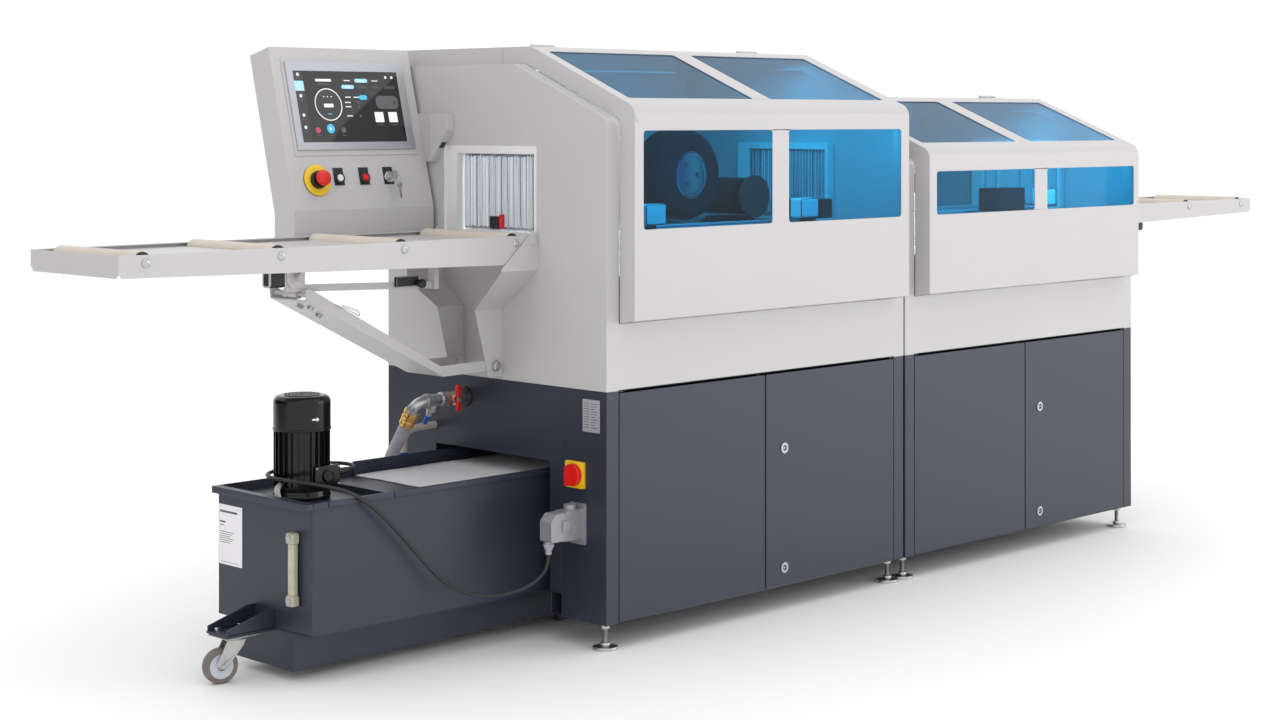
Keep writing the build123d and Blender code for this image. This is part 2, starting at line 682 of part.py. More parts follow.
def strut():
    """Channel that props the table: two flanges, web, end pin and pivot bushes."""
    side = [
        (-8, 650), (-190, 648), (-604, 858), (-607, 884), (-598, 889), (-198, 675), (-8, 677),
    ]
    plates = []
    for y0, y1 in ((381, 384), (520, 523)):
        plate = prism("y", side, y0, y1)
        plates.append(plate - rod("y", *STRUT, 8 + RUNNING, y0 - 1, y1 + 1))
    level_web = prism("y", [(-46, 650), (-190, 648), (-190.8, 651.2), (-46, 653)], 384, 520)
    rising_web = prism("y", [(-190, 648), (-604, 858), (-603.2, 861.2), (-190.8, 651.2)], 384, 520)
    solids = plates + [level_web, rising_web]
    solids.append(rod("y", -592, 872, 6, 384, 520))
    solids.append(ring("y", -592, 872, 11, 6, 425, 479))
    slope = (858 - 648) / (604 - 190)
    for x, y in STRUT_BOLTS:
        under = Location((x, y, 648 - slope * (x + 190)), (0, math.degrees(math.atan(slope)), 0))
        solids.append(under * Pos(0, 0, -4) * Cylinder(6.5, 8))
    return solids


def bracket(face, inner, outward):
    """Folded wall bracket: upper plate, leaning middle, lower plate, wall flange and pins."""
    sign = outward
    upper_y = sorted((face, face - sign * 4))
    lower_y = sorted((inner, inner - sign * 4))
    reach = sorted((face, inner - sign * 4))
    knee_top = 909 if abs(face - inner) > 100 else 872
    upper = prism("y", [(-120, 913), (-118, knee_top), (0, knee_top), (0, 981), (-10, 1004), (-16, 1004)],
                  *upper_y)
    lower = prism("y", [(-90, 805), (-46, 637), (-42, 633), (0, 633), (0, 805)], *lower_y)
    band = prism("x", [(face, knee_top), (face - sign * 4, knee_top), (inner - sign * 4, 805),
                       (inner, 805)], -130, 0)
    middle = band & prism("y", [(-118, knee_top), (-90, 805), (0, 805), (0, knee_top)], *reach)
    return [upper, lower, middle]


def brackets():
    front = bracket(244.0, 376.0, -1)
    rear = bracket(613.5, 528.5, 1)
    pins = []
    for y0, y1, bolt in ((248.0, 256.0, (240.0, 244.0)), (602.0, 609.5, (613.5, 617.0))):
        pins.append(rod("y", *FOLD, 8, y0, y1))
        pins.append(rod("y", *FOLD, 11, *bolt))
    for y0, y1, bolt in ((380.0, 386.0, (371.0, 376.0)), (518.0, 524.5, (528.5, 533.5))):
        pins.append(rod("y", *STRUT, 8, y0, y1))
        pins.append(hexagon("y", *STRUT, 22, *bolt))
    return front + rear + pins


# ---- control panel ------------------------------------------------------------------------
PANEL = (-454.0, -10.0)
PANEL_SLANT = 422.0
PANEL_DEPTH = 82.0
PANEL_SHEET = 2.5
SCREEN = (-396.0, -65.0, 173.0, 359.0)       # limits of the glass along and up the face
DEVICES = {"start_button": (-302.0, 80.0), "stop_button": (-222.0, 80.0), "key_switch": (-144.0, 80.0)}
ESTOP = (-371.0, 76.0)
DEVICE_BORE = 11.0


def panel_section(inset):
    """Outline of the panel housing, drawn in by the sheet where asked."""
    y0, z0 = SCREEN_FOLD[0] + inset, 960 + inset
    turn = inset * math.tan(TILT / 2)
    back = PANEL_DEPTH - inset
    knee = (back + turn) * math.tan(TILT / 2)
    return [
        (y0, z0), (y0, SCREEN_FOLD[1] + turn), lean_point(PANEL_SLANT - inset, -inset),
        lean_point(PANEL_SLANT - inset, -back), (SCREEN_FOLD[0] + back, SCREEN_FOLD[1] - knee),
        (SCREEN_FOLD[0] + back, z0),
    ]


def around_screen(left, right, below, above, h0, h1):
    """Block on the panel's face that reaches past the glass by a margin on each side."""
    x0, x1, s0, s1 = SCREEN
    return panel_block(x0 - left, x1 + right, s0 - below, s1 + above, h0, h1)


def panel_neck():
    """Box that carries the panel off the end wall, its nose standing forward of the panel."""
    nose, slant, rear, bottom, top = 564, 1253, 760, 1171, 1297
    front, wall_gap = SCREEN_FOLD[0] - 3, -26
    outline = [(nose, top), (nose, slant), (630, bottom), (rear, bottom), (rear, top)]
    narrow = prism("x", outline, PANEL[1], 0)
    return narrow + (prism("x", outline, wall_gap, 0) & box(wall_gap, 0, nose, front, 0, top))


def panel_housing():
    """Sheet box with its device holes, raised bezel and wall neck."""
    x0, x1 = PANEL
    shell = prism("x", panel_section(0), x0, x1)
    shell = shell - prism("x", panel_section(PANEL_SHEET), x0 + PANEL_SHEET, x1 - PANEL_SHEET)
    for x, s in list(DEVICES.values()) + [ESTOP]:
        shell = shell - panel_rod(x, s, DEVICE_BORE + 1, -20, 10)
    bezel = around_screen(29, 33, 34, 32, 0, 2) - around_screen(8, 11, 13, 11, -1, 3)
    return [shell, bezel, panel_neck()]


def screen_frame():
    return around_screen(20, 24, 20, 25, 2, 6) - around_screen(0, 0, 0, 0, 0, 8)


def button_bases():
    """Emergency stop disc and the three legend plates, each with a threaded collar."""
    solids = []
    disc = panel_rod(*ESTOP, 40, 0, 3) + panel_rod(*ESTOP, 22, 3, 14)
    disc = disc + panel_rod(*ESTOP, DEVICE_BORE, -30, 0)
    solids.append(disc - panel_rod(*ESTOP, 7 + RUNNING, -31, 16))
    for x, s in DEVICES.values():
        plate = panel_block(x - 15, x + 15, s - 18, s + 27, 0, 2)
        collar = panel_rod(x, s, 14.5, 2, 7) + panel_rod(x, s, DEVICE_BORE, -30, 2)
        solids.append(plate + collar - panel_rod(x, s, 9 + RUNNING, -31, 9))
    return solids


def estop_button():
    cap = panel_rod(*ESTOP, 20, 24, 38)
    cap = fillet(cap.edges().filter_by(GeomType.CIRCLE), 5)
    return cap + panel_rod(*ESTOP, 13, 18, 26) + panel_rod(*ESTOP, 7, -24, 20)


def push_button(x, s):
    cap = panel_rod(x, s, 9, -24, 9)
    return fillet(cap.edges().filter_by(GeomType.CIRCLE), 1)


def key_switch(x, s):
    """Cylinder with the key in it and a second key on the ring, blade down."""
    drum = panel_rod(x, s, 9, -24, 10)
    key = panel_block(x - 1.2, x + 1.2, s - 4, s + 4, 10, 20)
    bow = panel_place(x, s, 29) * Location((0, 0, 0), (0, 90, 0)) * Cylinder(11, 2.4)
    loop = panel_place(x + 8, s - 14, 30) * Location((0, 0, 0), (90, 0, 0)) * Cylinder(9, 2.4)
    spare = panel_place(x + 8, s - 34, 30) * Box(6, 30, 2.4)
    return [drum + key + bow, loop, spare]


# ---- items on the infeed end wall ---------------------------------------------------------
MAIN_SWITCH = (105.0, 418.0)


def main_switch_plate():
    y, z = MAIN_SWITCH
    plate = rounded_box(-8, 0, y - 32.5, y + 32.5, z - 32.5, z + 32.5, 5, "x")
    return plate - rod("x", y, z, 6 + RUNNING, -9, 1)


def main_switch_knob():
    y, z = MAIN_SWITCH
    drum = rod("x", y, z, 27, -20, -8.3)
    drum = fillet(drum.edges().filter_by(GeomType.CIRCLE).group_by(Axis.X)[0], 3)
    grip = rounded_box(-34, -20, y - 8, y + 8, z - 25, z + 25, 6, "x")
    return drum + grip + rod("x", y, z, 6, -8.3, -1)


CONNECTOR = (77.0, 117.0, 250.0, 350.0)
PLUG_GLAND = (-98.0, 99.0)


def connector_base():
    """Wall housing of the heavy connector: body, wall flange, round cap, locking pegs."""
    y0, y1, z0, z1 = CONNECTOR
    body = rounded_box(-62, -4, y0, y1, z0 + 14, z1 - 12, 5, "x")
    flange = rounded_box(-4, 0, y0 - 8, y1 + 8, z0, z1, 5, "x")
    cap = rod("z", -30, (y0 + y1) / 2, 15, z1 - 12, z1)
    return [body, flange, cap]


def connector_plug():
    """Cable hood: sloped body, side levers and the gland below it."""
    y0, y1, _, _ = CONNECTOR
    side = [(-62.4, 268), (-62.4, 335), (-92, 335), (-109, 318), (-109, 268)]
    hood_body = prism("y", side, y0, y1, radii=[3, 3, 8, 8, 6])
    levers = [box(-74, -50, y0 - 4, y0 - 0.5, 292, 316), box(-74, -50, y1 + 0.5, y1 + 4, 292, 316)]
    x, y = PLUG_GLAND
    gland = rod("z", x, y, 11, 250, 268) + hexagon("z", x, y, 24, 256, 263)
    tail = rod("z", x, y, 8, 238, 250)
    return [hood_body, gland + tail] + levers


# ---- tank ---------------------------------------------------------------------------------
def tank_walls():
    x0, x1, y0, y1, z0, z1 = TANK
    return [
        box(x0, x1, y0, y0 + SHEET, z0 + SHEET, z1),
        box(x0, x1, y1 - SHEET, y1, z0 + SHEET, z1),
        box(x0, x0 + SHEET, y0 + SHEET, y1 - SHEET, z0 + SHEET, z1),
        box(x1 - SHEET, x1, y0 + SHEET, y1 - SHEET, z0 + SHEET, z1),
        box(x0, x1, y0, y1, z0, z0 + SHEET),
    ]


def tank_rim():
    """Folded hems: a deep lip at the free end and a shallow one along the front."""
    x0, x1, y0, _, _, z1 = TANK
    return [
        box(x0 - 20, x0, y0 - 6, TANK[3], z1 - 16, z1),
        box(x0, -652, y0 - 6, y0, z1 - 14, z1),
        box(-650, -462, y0 - 6, y0, z1 - 14, z1),
        box(-460, x1, y0 - 6, y0, z1 - 14, z1),
    ]


PUMP_PLATE_Z = 395.0
DIVIDER_X = -460.0
TRAY_X = -400.0


def tank_inside():
    """Pump plate, divider, perforated tray and slotted back upstand."""
    _, x1, y0, y1, z0, _ = TANK
    front, back = y0 + SHEET, y1 - SHEET
    plate = box(TANK[0] + SHEET, DIVIDER_X, front, back, PUMP_PLATE_Z - SHEET, PUMP_PLATE_Z)
    plate = plate - rod("z", *MOTOR, 56, PUMP_PLATE_Z - 10, PUMP_PLATE_Z + 10)
    divider = box(DIVIDER_X, DIVIDER_X + SHEET, front, back, z0 + SHEET, 410)
    tray = box(TRAY_X, x1 - SHEET, front, back, 390, 393)
    edge = box(TRAY_X - 2, TRAY_X, front, back, 360, 393)
    upstand = box(-300, 200, back - 4, back, 393, 428)
    for x in (-230, -112, 5, 120):
        upstand = upstand - box(x - 22, x + 22, back - 10, back + 1, 404, 411)
    return [plate, divider, tray, edge, upstand]


def tank_plinth():
    x0, x1, _, _, z0, _ = TANK
    y0, y1, low = 310, 532, 25
    solids = [
        box(x0, x0 + SHEET, y0, y1, low, z0),
        box(x0 + SHEET, x1, y0, y0 + SHEET, low, z0),
        box(x0 + SHEET, x1, y1 - SHEET, y1, low, z0),
        box(x0 + SHEET, x1, y0 + SHEET, y1 - SHEET, low, low + SHEET),
    ]
    for y in (330, 492):
        solids.append(box(150, 230, y, y + 20, 0, low))
    return solids


def caster_bracket():
    """Two gussets, top plate and bolts that carry the caster."""
    x0 = TANK[0]
    cx, cy = CASTER
    points = [(x0, 115), (x0, 158), (x0 - 20, 158), (x0 - 128, 127), (x0 - 128, 115)]
    solids = [prism("y", points, 382, 386), prism("y", points, 458, 462)]
    plate = box(x0 - 128, x0, 378, 466, 109, 115)
    solids.append(plate - rod("z", cx, cy, 6 + RUNNING, 100, 120))
    for dx in (-30, 30):
        for dy in (-24, 24):
            solids.append(hexagon("z", cx + dx, cy + dy, 13, 115, 121))
    return solids


def level_gauge():
    """Sight glass with its two screw blocks."""
    x0 = TANK[0]
    return [
        box(x0 - 22, x0, 283, 307, 178, 200),
        box(x0 - 22, x0, 283, 307, 322, 344),
        box(x0 - 16, x0 - 2, 285, 305, 200, 322),
    ]


HOSE_END = (-175.0, 661.0, 195.0)           # top of the elbow on the tank's back
HOSE_TOP = (-160.0, 561.5, 510.1)           # face of the hose's coupling nut


def hose_elbow():
    """Return elbow on the tank's back wall; the hose stands on its upright end."""
    x, y, z = HOSE_END
    level = z - 30
    back = TANK[3]
    elbow = rod("y", x, level, 13, back, y) + Pos(x, y, level) * Sphere(13)
    return elbow + rod("z", x, y, 13, level, z) + rod("y", x, level, 22, back, back + 6)


GLAND = (380.0, 452.0)          # y and z of the cable gland on the terminal box
CABLE_START = -511.0


def pump_motor():
    """Finned motor with fan cowl, flange, terminal box and the wet end below the plate."""
    x, y = MOTOR
    cowl = rod("z", x, y, 67, 560, 637)
    cowl = fillet(cowl.edges().filter_by(GeomType.CIRCLE).group_by(Axis.Z)[-1], 16)
    frame = rod("z", x, y, 58, 427, 560)
    fins = []
    for number in range(24):
        angle = 15 * number
        fin = Pos(61, 0, 493.5) * Box(10, 2.5, 133)
        fins.append(Location((x, y, 0), (0, 0, angle)) * fin)
    body = frame
    for fin in fins:
        body = body + fin
    flange = rod("z", x, y, 64, PUMP_PLATE_Z, 427)
    wet = rod("z", x, y, 55, 150, PUMP_PLATE_Z)
    terminal = rounded_box(-597, -529, 357, 402, 427, 473, 5, "y") - rod("z", x, y, 66.2, 400, 500)
    gland = rod("x", *GLAND, 9, -529, CABLE_START)
    return [cowl, body, flange, wet, terminal, gland]


def caster_fork():
    """Stamped fork: swivel head, two cheeks trailing back to the axle."""
    trail, height = 36.1, 40.0
    head = rod("z", 0, 0, 26, 98, 105) + rod("z", 0, 0, 18, 105, 108.5) + rod("z", 0, 0, 6, 108, 117)
    outline = [(-20, 98), (-14, 84), (trail - 9, 34), (trail + 9, 34), (trail + 12, 48), (24, 98)]
    rounding = [0, 8, 8, 8, 8, 0]
    cheek = prism("y", outline, 15, 17.5, radii=rounding)
    other = prism("y", outline, -17.5, -15, radii=rounding)
    bridge = box(-20, 24, -17.5, 17.5, 95.5, 98)
    axle = rod("y", trail, height, 5, -21, 21)
    fork = head + bridge + cheek + other + axle
    return Location((*CASTER, 0), (0, 0, CASTER_YAW)) * fork


def caster_wheel():
    trail, height, radius = 36.1, 40.0, 40.0
    tread = rod("y", trail, height, radius, -12, 12)
    tread = fillet(tread.edges().filter_by(GeomType.CIRCLE), 5)
    tread = tread - rod("y", trail, height, 28, -13, 13)
    rim = ring("y", trail, height, 28, 5 + RUNNING, -9, 9) + ring("y", trail, height, 10, 5 + RUNNING, -13, 13)
    place = Location((*CASTER, 0), (0, 0, CASTER_YAW))
    return [place * tread, place * rim]


# ---- drain pipework -----------------------------------------------------------------------
PIPE = (520.0, 570.0)
VALVE = (-76.0, -20.0)          # ends of the valve's body
VALVE_STEM = -48.0
BRANCH = (0.0, 0.57, -0.82)


def along(start, length, radius):
    """Cylinder from a point along the branch direction."""
    size = math.sqrt(sum(value * value for value in BRANCH))
    step = [value / size for value in BRANCH]
    middle = [a + b * length / 2 for a, b in zip(start, step)]
    return Plane(origin=middle, z_dir=BRANCH) * Cylinder(radius, length)


def drain_pipe():
    """Bushing, valve body, tee with its plugged branch, elbow and the fixed half of the coupling."""
    y, z = PIPE
    low, high = VALVE
    bushing = rod("x", y, z, 17, high, 0)
    valve = hexagon("x", y, z, 34, low, high) - rod("y", VALVE_STEM, z, 4 + RUNNING, y - 40, y - 4)
    stem_seat = ring("y", VALVE_STEM, z, 8, 4 + RUNNING, y - 22, y - 15)
    tee = rod("x", y, z, 15, -134, low) + rod("x", y, z, 18, low - 8, low) + rod("x", y, z, 18, -134, -126)
    tee = tee + along((-98, y, z), 26, 14) + along((-98, y + 10, z - 14.4), 9, 17)
    plug = along((-98, y + 15.2, z - 21.8), 52, 9)
    elbow = rod("x", y, z, 14, -160, -134) + Pos(-160, y, z) * Sphere(17.5)
    drop = along((-160, y, z), 30, 14.5)
    coupling = along((-160, y + 17, z - 24.5), 22, 19)
    return [bushing, valve + stem_seat, tee, plug - tee, elbow + drop, coupling - (elbow + drop)]


def valve_handle():
    """Butterfly handle on the valve's stem."""
    y, z = PIPE
    stem = rod("y", VALVE_STEM, z, 4, y - 26, y - 6)
    wing = rounded_box(VALVE_STEM - 9, VALVE_STEM + 9, y - 34, y - 24, z - 30, z + 36, 7, "y")
    return stem + wing


def hose_route():
    """Points of the drain hose, from the coupling down behind the tank to its barb."""
    x, y, z = HOSE_END
    return [
        HOSE_TOP, (-160, 590, 469), (-163, 622, 420), (-168, 645, 362), (-172, 657, 300),
        (x, y, 245), (x, y, z),
    ]


def cable_route():
    """Points of the motor cable, round the motor, over the tank's rim and up to the plug."""
    return [
        (CABLE_START, *GLAND), (-479, 381, 453), (-450, 397, 454), (-436, 428, 455), (-440, 464, 455),
        (-462, 494, 454), (-497, 514, 452), (-540, 522, 450), (-585, 518, 449), (-625, 500, 448),
        (-654, 468, 449), (-670, 426, 450), (-672, 378, 451), (-663, 328, 450), (-648, 280, 448),
        (-624, 247, 442), (-586, 229, 429), (-528, 215, 385), (-468, 214, 328), (-412, 212, 268),
        (-362, 205, 213), (-322, 190, 176), (-276, 170, 156), (-228, 148, 150), (-180, 125, 156),
        (-139, 107, 172), (-98, 99, 204), (-98, 99, 238),
    ]


def route_radii(points):
    """Largest bend at each corner: 0.45 of the shorter run over the tangent of half the turn."""
    radii = []
    for before, here, after in zip(points, points[1:], points[2:]):
        first, second = Vector(here) - Vector(before), Vector(after) - Vector(here)
        half_turn = math.radians(first.get_angle(second)) / 2
        radii.append(0.45 * min(first.length, second.length) / math.tan(half_turn))
    return radii


def tube(name, points, radius):
    """Tube along straight runs joined by arcs; prints what the route amounts to."""
    radii = route_radii(points)
    path = FilletPolyline(*points, radius=radii)
    wire = path.wire() if hasattr(path, "wire") else Wire(path.edges())
    solid = sweep((wire ^ 0) * Circle(radius), path=wire)
    ideal = math.pi * radius ** 2 * wire.length
    print(name, "radii", [round(value) for value in radii])
    print(name, "length", round(wire.length), "volume ratio", round(solid.volume / ideal, 4))
    return solid


# ---- writing the nodes --------------------------------------------------------------------
def write_housings():
    save("lower_cabinet_left", lower_cabinet(MODULES[0], True))
    save("lower_cabinet_right", lower_cabinet(MODULES[1], False))
    save("levelling_feet", levelling_feet())
    save("transport_bed", transport_bed())
    save("grinder_units", grinder_units())
    for index, (side, drop) in enumerate((("left", 0.0), ("right", DROP))):
        moving, fixed = hood_hinges(index, drop)
        save(f"upper_body_{side}", upper_body(MODULES[index], drop), fixed)
        save(f"hood_{side}", hood(index, drop), moving)
        save(f"hood_{side}_panes", hood_panes(index, drop))


def write_doors():
    for index, side in enumerate(("left", "right")):
        x = MODULES[index]
        split = x + MODULE_WIDTH / 2
        axis_a, axis_b = door_axes(x)
        save(f"door_{side}_a", door(x + PILLAR + 2, split - DOOR_GAP / 2), door_hinge(axis_a))
        leaf = door(split + DOOR_GAP / 2, x + MODULE_WIDTH - PILLAR - 2)
        save(f"door_{side}_b", lock_holes(leaf, split + LOCK_OFFSET), door_hinge(axis_b))
        for number, z in enumerate(LOCK_HEIGHTS, 1):
            save(f"door_{side}_lock_{number}", door_lock(split + LOCK_OFFSET, z))


def write_passages():
    trims, strips = [], []
    for x, side in END_WALLS:
        trims += passage_trim(x, side)
        strips += strip_curtain(x + side * 22 - (2 if side < 0 else 0))
    save("opening_trims", trims)
    save("strip_curtains", strips)


def write_units():
    save("press_arm", press_arm())
    save("drive_rim", drive_rim())
    save("drive_tyre", drive_tyre())
    save("base_disc", grinding_disc(*DISCS[0]))
    save("edge_disc", grinding_disc(*DISCS[1]))


def write_tables():
    table, prop, fixed = roller_table(), strut(), brackets()
    save("infeed_table", table)
    save("outfeed_table", other_end(table))
    save("infeed_strut", prop)
    save("outfeed_strut", other_end(prop))
    save("table_brackets", fixed, other_end(fixed))
    for number, x in enumerate(ROLLERS, 1):
        save(f"infeed_roller_{number}", roller(x))
        save(f"outfeed_roller_{number}", other_end([roller(x)]))


def write_controls():
    save("panel_housing", panel_housing())
    save("screen_frame", screen_frame())
    save("screen_glass", around_screen(0, 0, 0, 0, 2, 4.5))
    save("button_bases", button_bases())
    save("estop_button", estop_button())
    save("start_button", push_button(*DEVICES["start_button"]))
    save("stop_button", push_button(*DEVICES["stop_button"]))
    save("key_switch", key_switch(*DEVICES["key_switch"]))
    save("main_switch_plate", main_switch_plate())
    save("main_switch_knob", main_switch_knob())
    save("connector_base", connector_base())


def write_tank():
    tank = tank_walls() + tank_rim() + tank_inside() + tank_plinth()
    save("tank", tank, caster_bracket(), level_gauge(), hose_elbow())
    save("filter_fleece", box(-300, 240, 250, 590, 393.2, 396.2))
    save("pump_motor", pump_motor())
    save("caster_fork", caster_fork())
    save("caster_wheel", caster_wheel())
    save("power_cable", tube("power_cable", cable_route(), 4.5))
    save("connector_plug", connector_plug())
    nut = along((-160, 550.2, 526.4), 19.8, 19)
    save("drain_hose", tube("drain_hose", hose_route(), 16.5), nut)
    save("drain_pipe", drain_pipe())
    save("valve_handle", valve_handle())


def main():
    os.makedirs("parts", exist_ok=True)
    write_housings()
    write_doors()
    write_passages()
    write_units()
    write_tables()
    write_controls()
    write_tank()


main()
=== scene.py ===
import json
import math
import random

import bmesh
import bpy
from mathutils import Matrix, Vector

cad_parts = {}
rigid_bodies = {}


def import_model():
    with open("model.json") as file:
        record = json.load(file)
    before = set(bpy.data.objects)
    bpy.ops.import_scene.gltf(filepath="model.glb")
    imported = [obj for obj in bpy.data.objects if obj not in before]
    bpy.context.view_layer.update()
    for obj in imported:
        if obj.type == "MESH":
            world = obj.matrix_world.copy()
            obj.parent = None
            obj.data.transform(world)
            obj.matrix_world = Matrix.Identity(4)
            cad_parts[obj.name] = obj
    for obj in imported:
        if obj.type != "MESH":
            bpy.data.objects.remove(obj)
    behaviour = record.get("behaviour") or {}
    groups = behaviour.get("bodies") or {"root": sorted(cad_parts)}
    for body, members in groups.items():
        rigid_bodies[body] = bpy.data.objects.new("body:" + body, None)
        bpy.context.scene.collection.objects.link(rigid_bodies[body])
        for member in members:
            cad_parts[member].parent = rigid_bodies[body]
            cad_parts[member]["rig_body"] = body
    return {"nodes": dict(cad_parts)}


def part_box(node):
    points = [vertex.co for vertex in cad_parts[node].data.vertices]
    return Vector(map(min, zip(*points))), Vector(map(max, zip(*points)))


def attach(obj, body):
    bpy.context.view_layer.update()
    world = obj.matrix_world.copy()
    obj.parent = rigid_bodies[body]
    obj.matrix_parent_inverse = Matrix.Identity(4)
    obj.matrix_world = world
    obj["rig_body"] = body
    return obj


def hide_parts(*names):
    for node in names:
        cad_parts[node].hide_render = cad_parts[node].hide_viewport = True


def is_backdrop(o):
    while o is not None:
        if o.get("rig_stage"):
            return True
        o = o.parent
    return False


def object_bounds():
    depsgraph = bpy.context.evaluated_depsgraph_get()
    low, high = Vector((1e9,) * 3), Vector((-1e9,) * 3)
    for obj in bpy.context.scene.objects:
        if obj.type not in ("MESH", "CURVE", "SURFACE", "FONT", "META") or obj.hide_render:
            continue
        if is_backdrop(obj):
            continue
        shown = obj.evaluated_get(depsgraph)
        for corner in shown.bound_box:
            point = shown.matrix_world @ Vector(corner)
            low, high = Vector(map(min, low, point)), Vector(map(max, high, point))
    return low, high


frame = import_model()
cad_low, cad_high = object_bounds()
NODES = frame["nodes"]
rng = random.Random(7)

# ---- the machine's own measures, in millimetres ----
# x runs from the infeed end wall, y from the door plane back, z up from the floor.
MODULE_WIDTH = 1150.0
MODULE_GAP = 8.0
MIDDLE = MODULE_WIDTH + MODULE_GAP / 2
ORIGIN_Y = 390.0
TILT = math.radians(15)
SCREEN_FOLD = (634.0, 1056.0)
TABLE_ROLLERS = (-1119.0, -769.0, -418.0, -68.0)
ROLLER_Z = 977.0
MOTOR = (-588.0, 420.0)
EMERGENCY_X = -371.0
START_X, STOP_X, KEY_X = -302.0, -222.0, -144.0
PIPE = (520.0, 570.0)
VALVE_STEM = -48.0
STRUT_BOLTS = ((-578.0, 439.0), (-573.0, 406.0), (-530.0, 431.0))
STRUT_SLOPE = 210 / 414
CASTER = (-776.0, 418.0)
TANK_END = -694.0
FOOT_X, FOOT_Y = (30.0, 1120.0, 1188.0, 2278.0), (35.0, 799.0)


def place(x, y, z):
    """A point of the machine as a point of the frame, in metres."""
    return Vector(((x - MIDDLE) / 1000, (y - ORIGIN_Y) / 1000, z / 1000))


def plane(origin, along, up):
    """Matrix of a plane: x along it, y up it, z out of it."""
    along, up = Vector(along), Vector(up)
    rows = Matrix((along, up, along.cross(up))).transposed()
    return Matrix.Translation(origin) @ rows.to_4x4()


PANEL_OUT = Vector((0, -math.cos(TILT), math.sin(TILT)))
PANEL_UP = Vector((0, math.sin(TILT), math.cos(TILT)))
PANEL = plane(place(0, *SCREEN_FOLD), (1, 0, 0), PANEL_UP)


def panel_point(x, s, h):
    """A point along, up and out of the leaning face of the control panel."""
    return PANEL @ (Vector((x, s, h)) / 1000)


# ---- materials ----
def noise(tree, scale, detail, stretch):
    """Noise in the row frame's metres; stretch lengthens the grain along an axis."""
    coords = tree.nodes.new("ShaderNodeTexCoord")
    source = coords.outputs["Object"]
    if stretch:
        mapping = tree.nodes.new("ShaderNodeMapping")
        mapping.inputs["Scale"].default_value = stretch
        tree.links.new(source, mapping.inputs["Vector"])
        source = mapping.outputs["Vector"]
    texture = tree.nodes.new("ShaderNodeTexNoise")
    texture.inputs["Scale"].default_value = scale
    texture.inputs["Detail"].default_value = detail
    tree.links.new(source, texture.inputs["Vector"])
    return texture.outputs["Fac"]


def ramp(tree, source, stops):
    """Colour ramp between two stops."""
    node = tree.nodes.new("ShaderNodeValToRGB")
    for element, (position, color) in zip(node.color_ramp.elements, stops):
        element.position = position
        element.color = (*color, 1)
    tree.links.new(source, node.inputs["Fac"])
    return node.outputs["Color"]


def spread(tree, source, low, high):
    node = tree.nodes.new("ShaderNodeMapRange")
    node.inputs["To Min"].default_value = low
    node.inputs["To Max"].default_value = high
    tree.links.new(source, node.inputs["Value"])
    return node.outputs["Result"]


def surface(name, color, vary, patch, rough, grain, bump, depth=0.0004, stretch=None, **sockets):
    """Principled material whose colour, roughness and fine relief all vary over the surface."""
    made = bpy.data.materials.new(name)
    made.use_nodes = True
    tree = made.node_tree
    shader = tree.nodes["Principled BSDF"]
    dark = tuple(c * (1 - vary) for c in color)
    light = tuple(min(1, c * (1 + vary)) for c in color)
    patches = noise(tree, patch, 4.0, stretch)
    tree.links.new(ramp(tree, patches, [(0.3, dark), (0.7, light)]), shader.inputs["Base Color"])
    tree.links.new(spread(tree, patches, *rough), shader.inputs["Roughness"])
    relief = tree.nodes.new("ShaderNodeBump")
    relief.inputs["Strength"].default_value = bump
    relief.inputs["Distance"].default_value = depth
    tree.links.new(noise(tree, grain, 2.0, stretch), relief.inputs["Height"])
    tree.links.new(relief.outputs["Normal"], shader.inputs["Normal"])
    for socket, value in sockets.items():
        shader.inputs[socket.replace("_", " ")].default_value = value
    return made


def clear(name, color, rough, weight=1.0, **sockets):
    """Transparent material with a slight ripple."""
    return surface(name, color, 0.03, 3.0, (rough, rough + 0.02), 14.0, 0.02, 0.002,
                   Transmission_Weight=weight, **sockets)


LIGHT = surface("light_powder_coat", (0.53, 0.515, 0.52), 0.015, 2.5, (0.33, 0.40), 1400.0, 0.10)
DARK = surface("dark_powder_coat", (0.024, 0.029, 0.048), 0.05, 2.5, (0.36, 0.44), 1400.0, 0.12)
ZINC = surface("zinc_plate", (0.50, 0.50, 0.49), 0.12, 40.0, (0.24, 0.42), 600.0, 0.12,
               Metallic=1.0)
CHROME = surface("polished_chrome", (0.50, 0.50, 0.50), 0.03, 60.0, (0.06, 0.14), 300.0, 0.02,
                 Metallic=1.0)
GALVANISED = surface("galvanised_casting", (0.56, 0.57, 0.58), 0.14, 70.0, (0.30, 0.46), 500.0,
                     0.35, Metallic=1.0)
BRASS = surface("brass", (0.80, 0.50, 0.16), 0.12, 70.0, (0.20, 0.36), 400.0, 0.15, Metallic=1.0)
CAST_GREY = surface("cast_aluminium", (0.36, 0.36, 0.38), 0.05, 60.0, (0.42, 0.55), 1500.0, 0.35,
                    Metallic=0.45)
BLACK = surface("black_plastic", (0.016, 0.016, 0.018), 0.15, 30.0, (0.35, 0.5), 1200.0, 0.12)
GLOSS_BLACK = surface("black_enamel", (0.006, 0.006, 0.007), 0.3, 20.0, (0.14, 0.24), 260.0, 0.10,
                      Specular_IOR_Level=0.28, Coat_Weight=0.15, Coat_Roughness=0.08)
RUBBER = surface("black_rubber", (0.017, 0.017, 0.018), 0.15, 30.0, (0.45, 0.6), 900.0, 0.12)
TYRE = surface("kart_tyre", (0.014, 0.014, 0.015), 0.2, 25.0, (0.5, 0.6), 500.0, 0.05)
RED = surface("red_plastic", (0.70, 0.012, 0.010), 0.05, 30.0, (0.22, 0.32), 900.0, 0.05)
YELLOW = surface("yellow_plastic", (0.86, 0.56, 0.015), 0.03, 30.0, (0.35, 0.45), 900.0, 0.06)
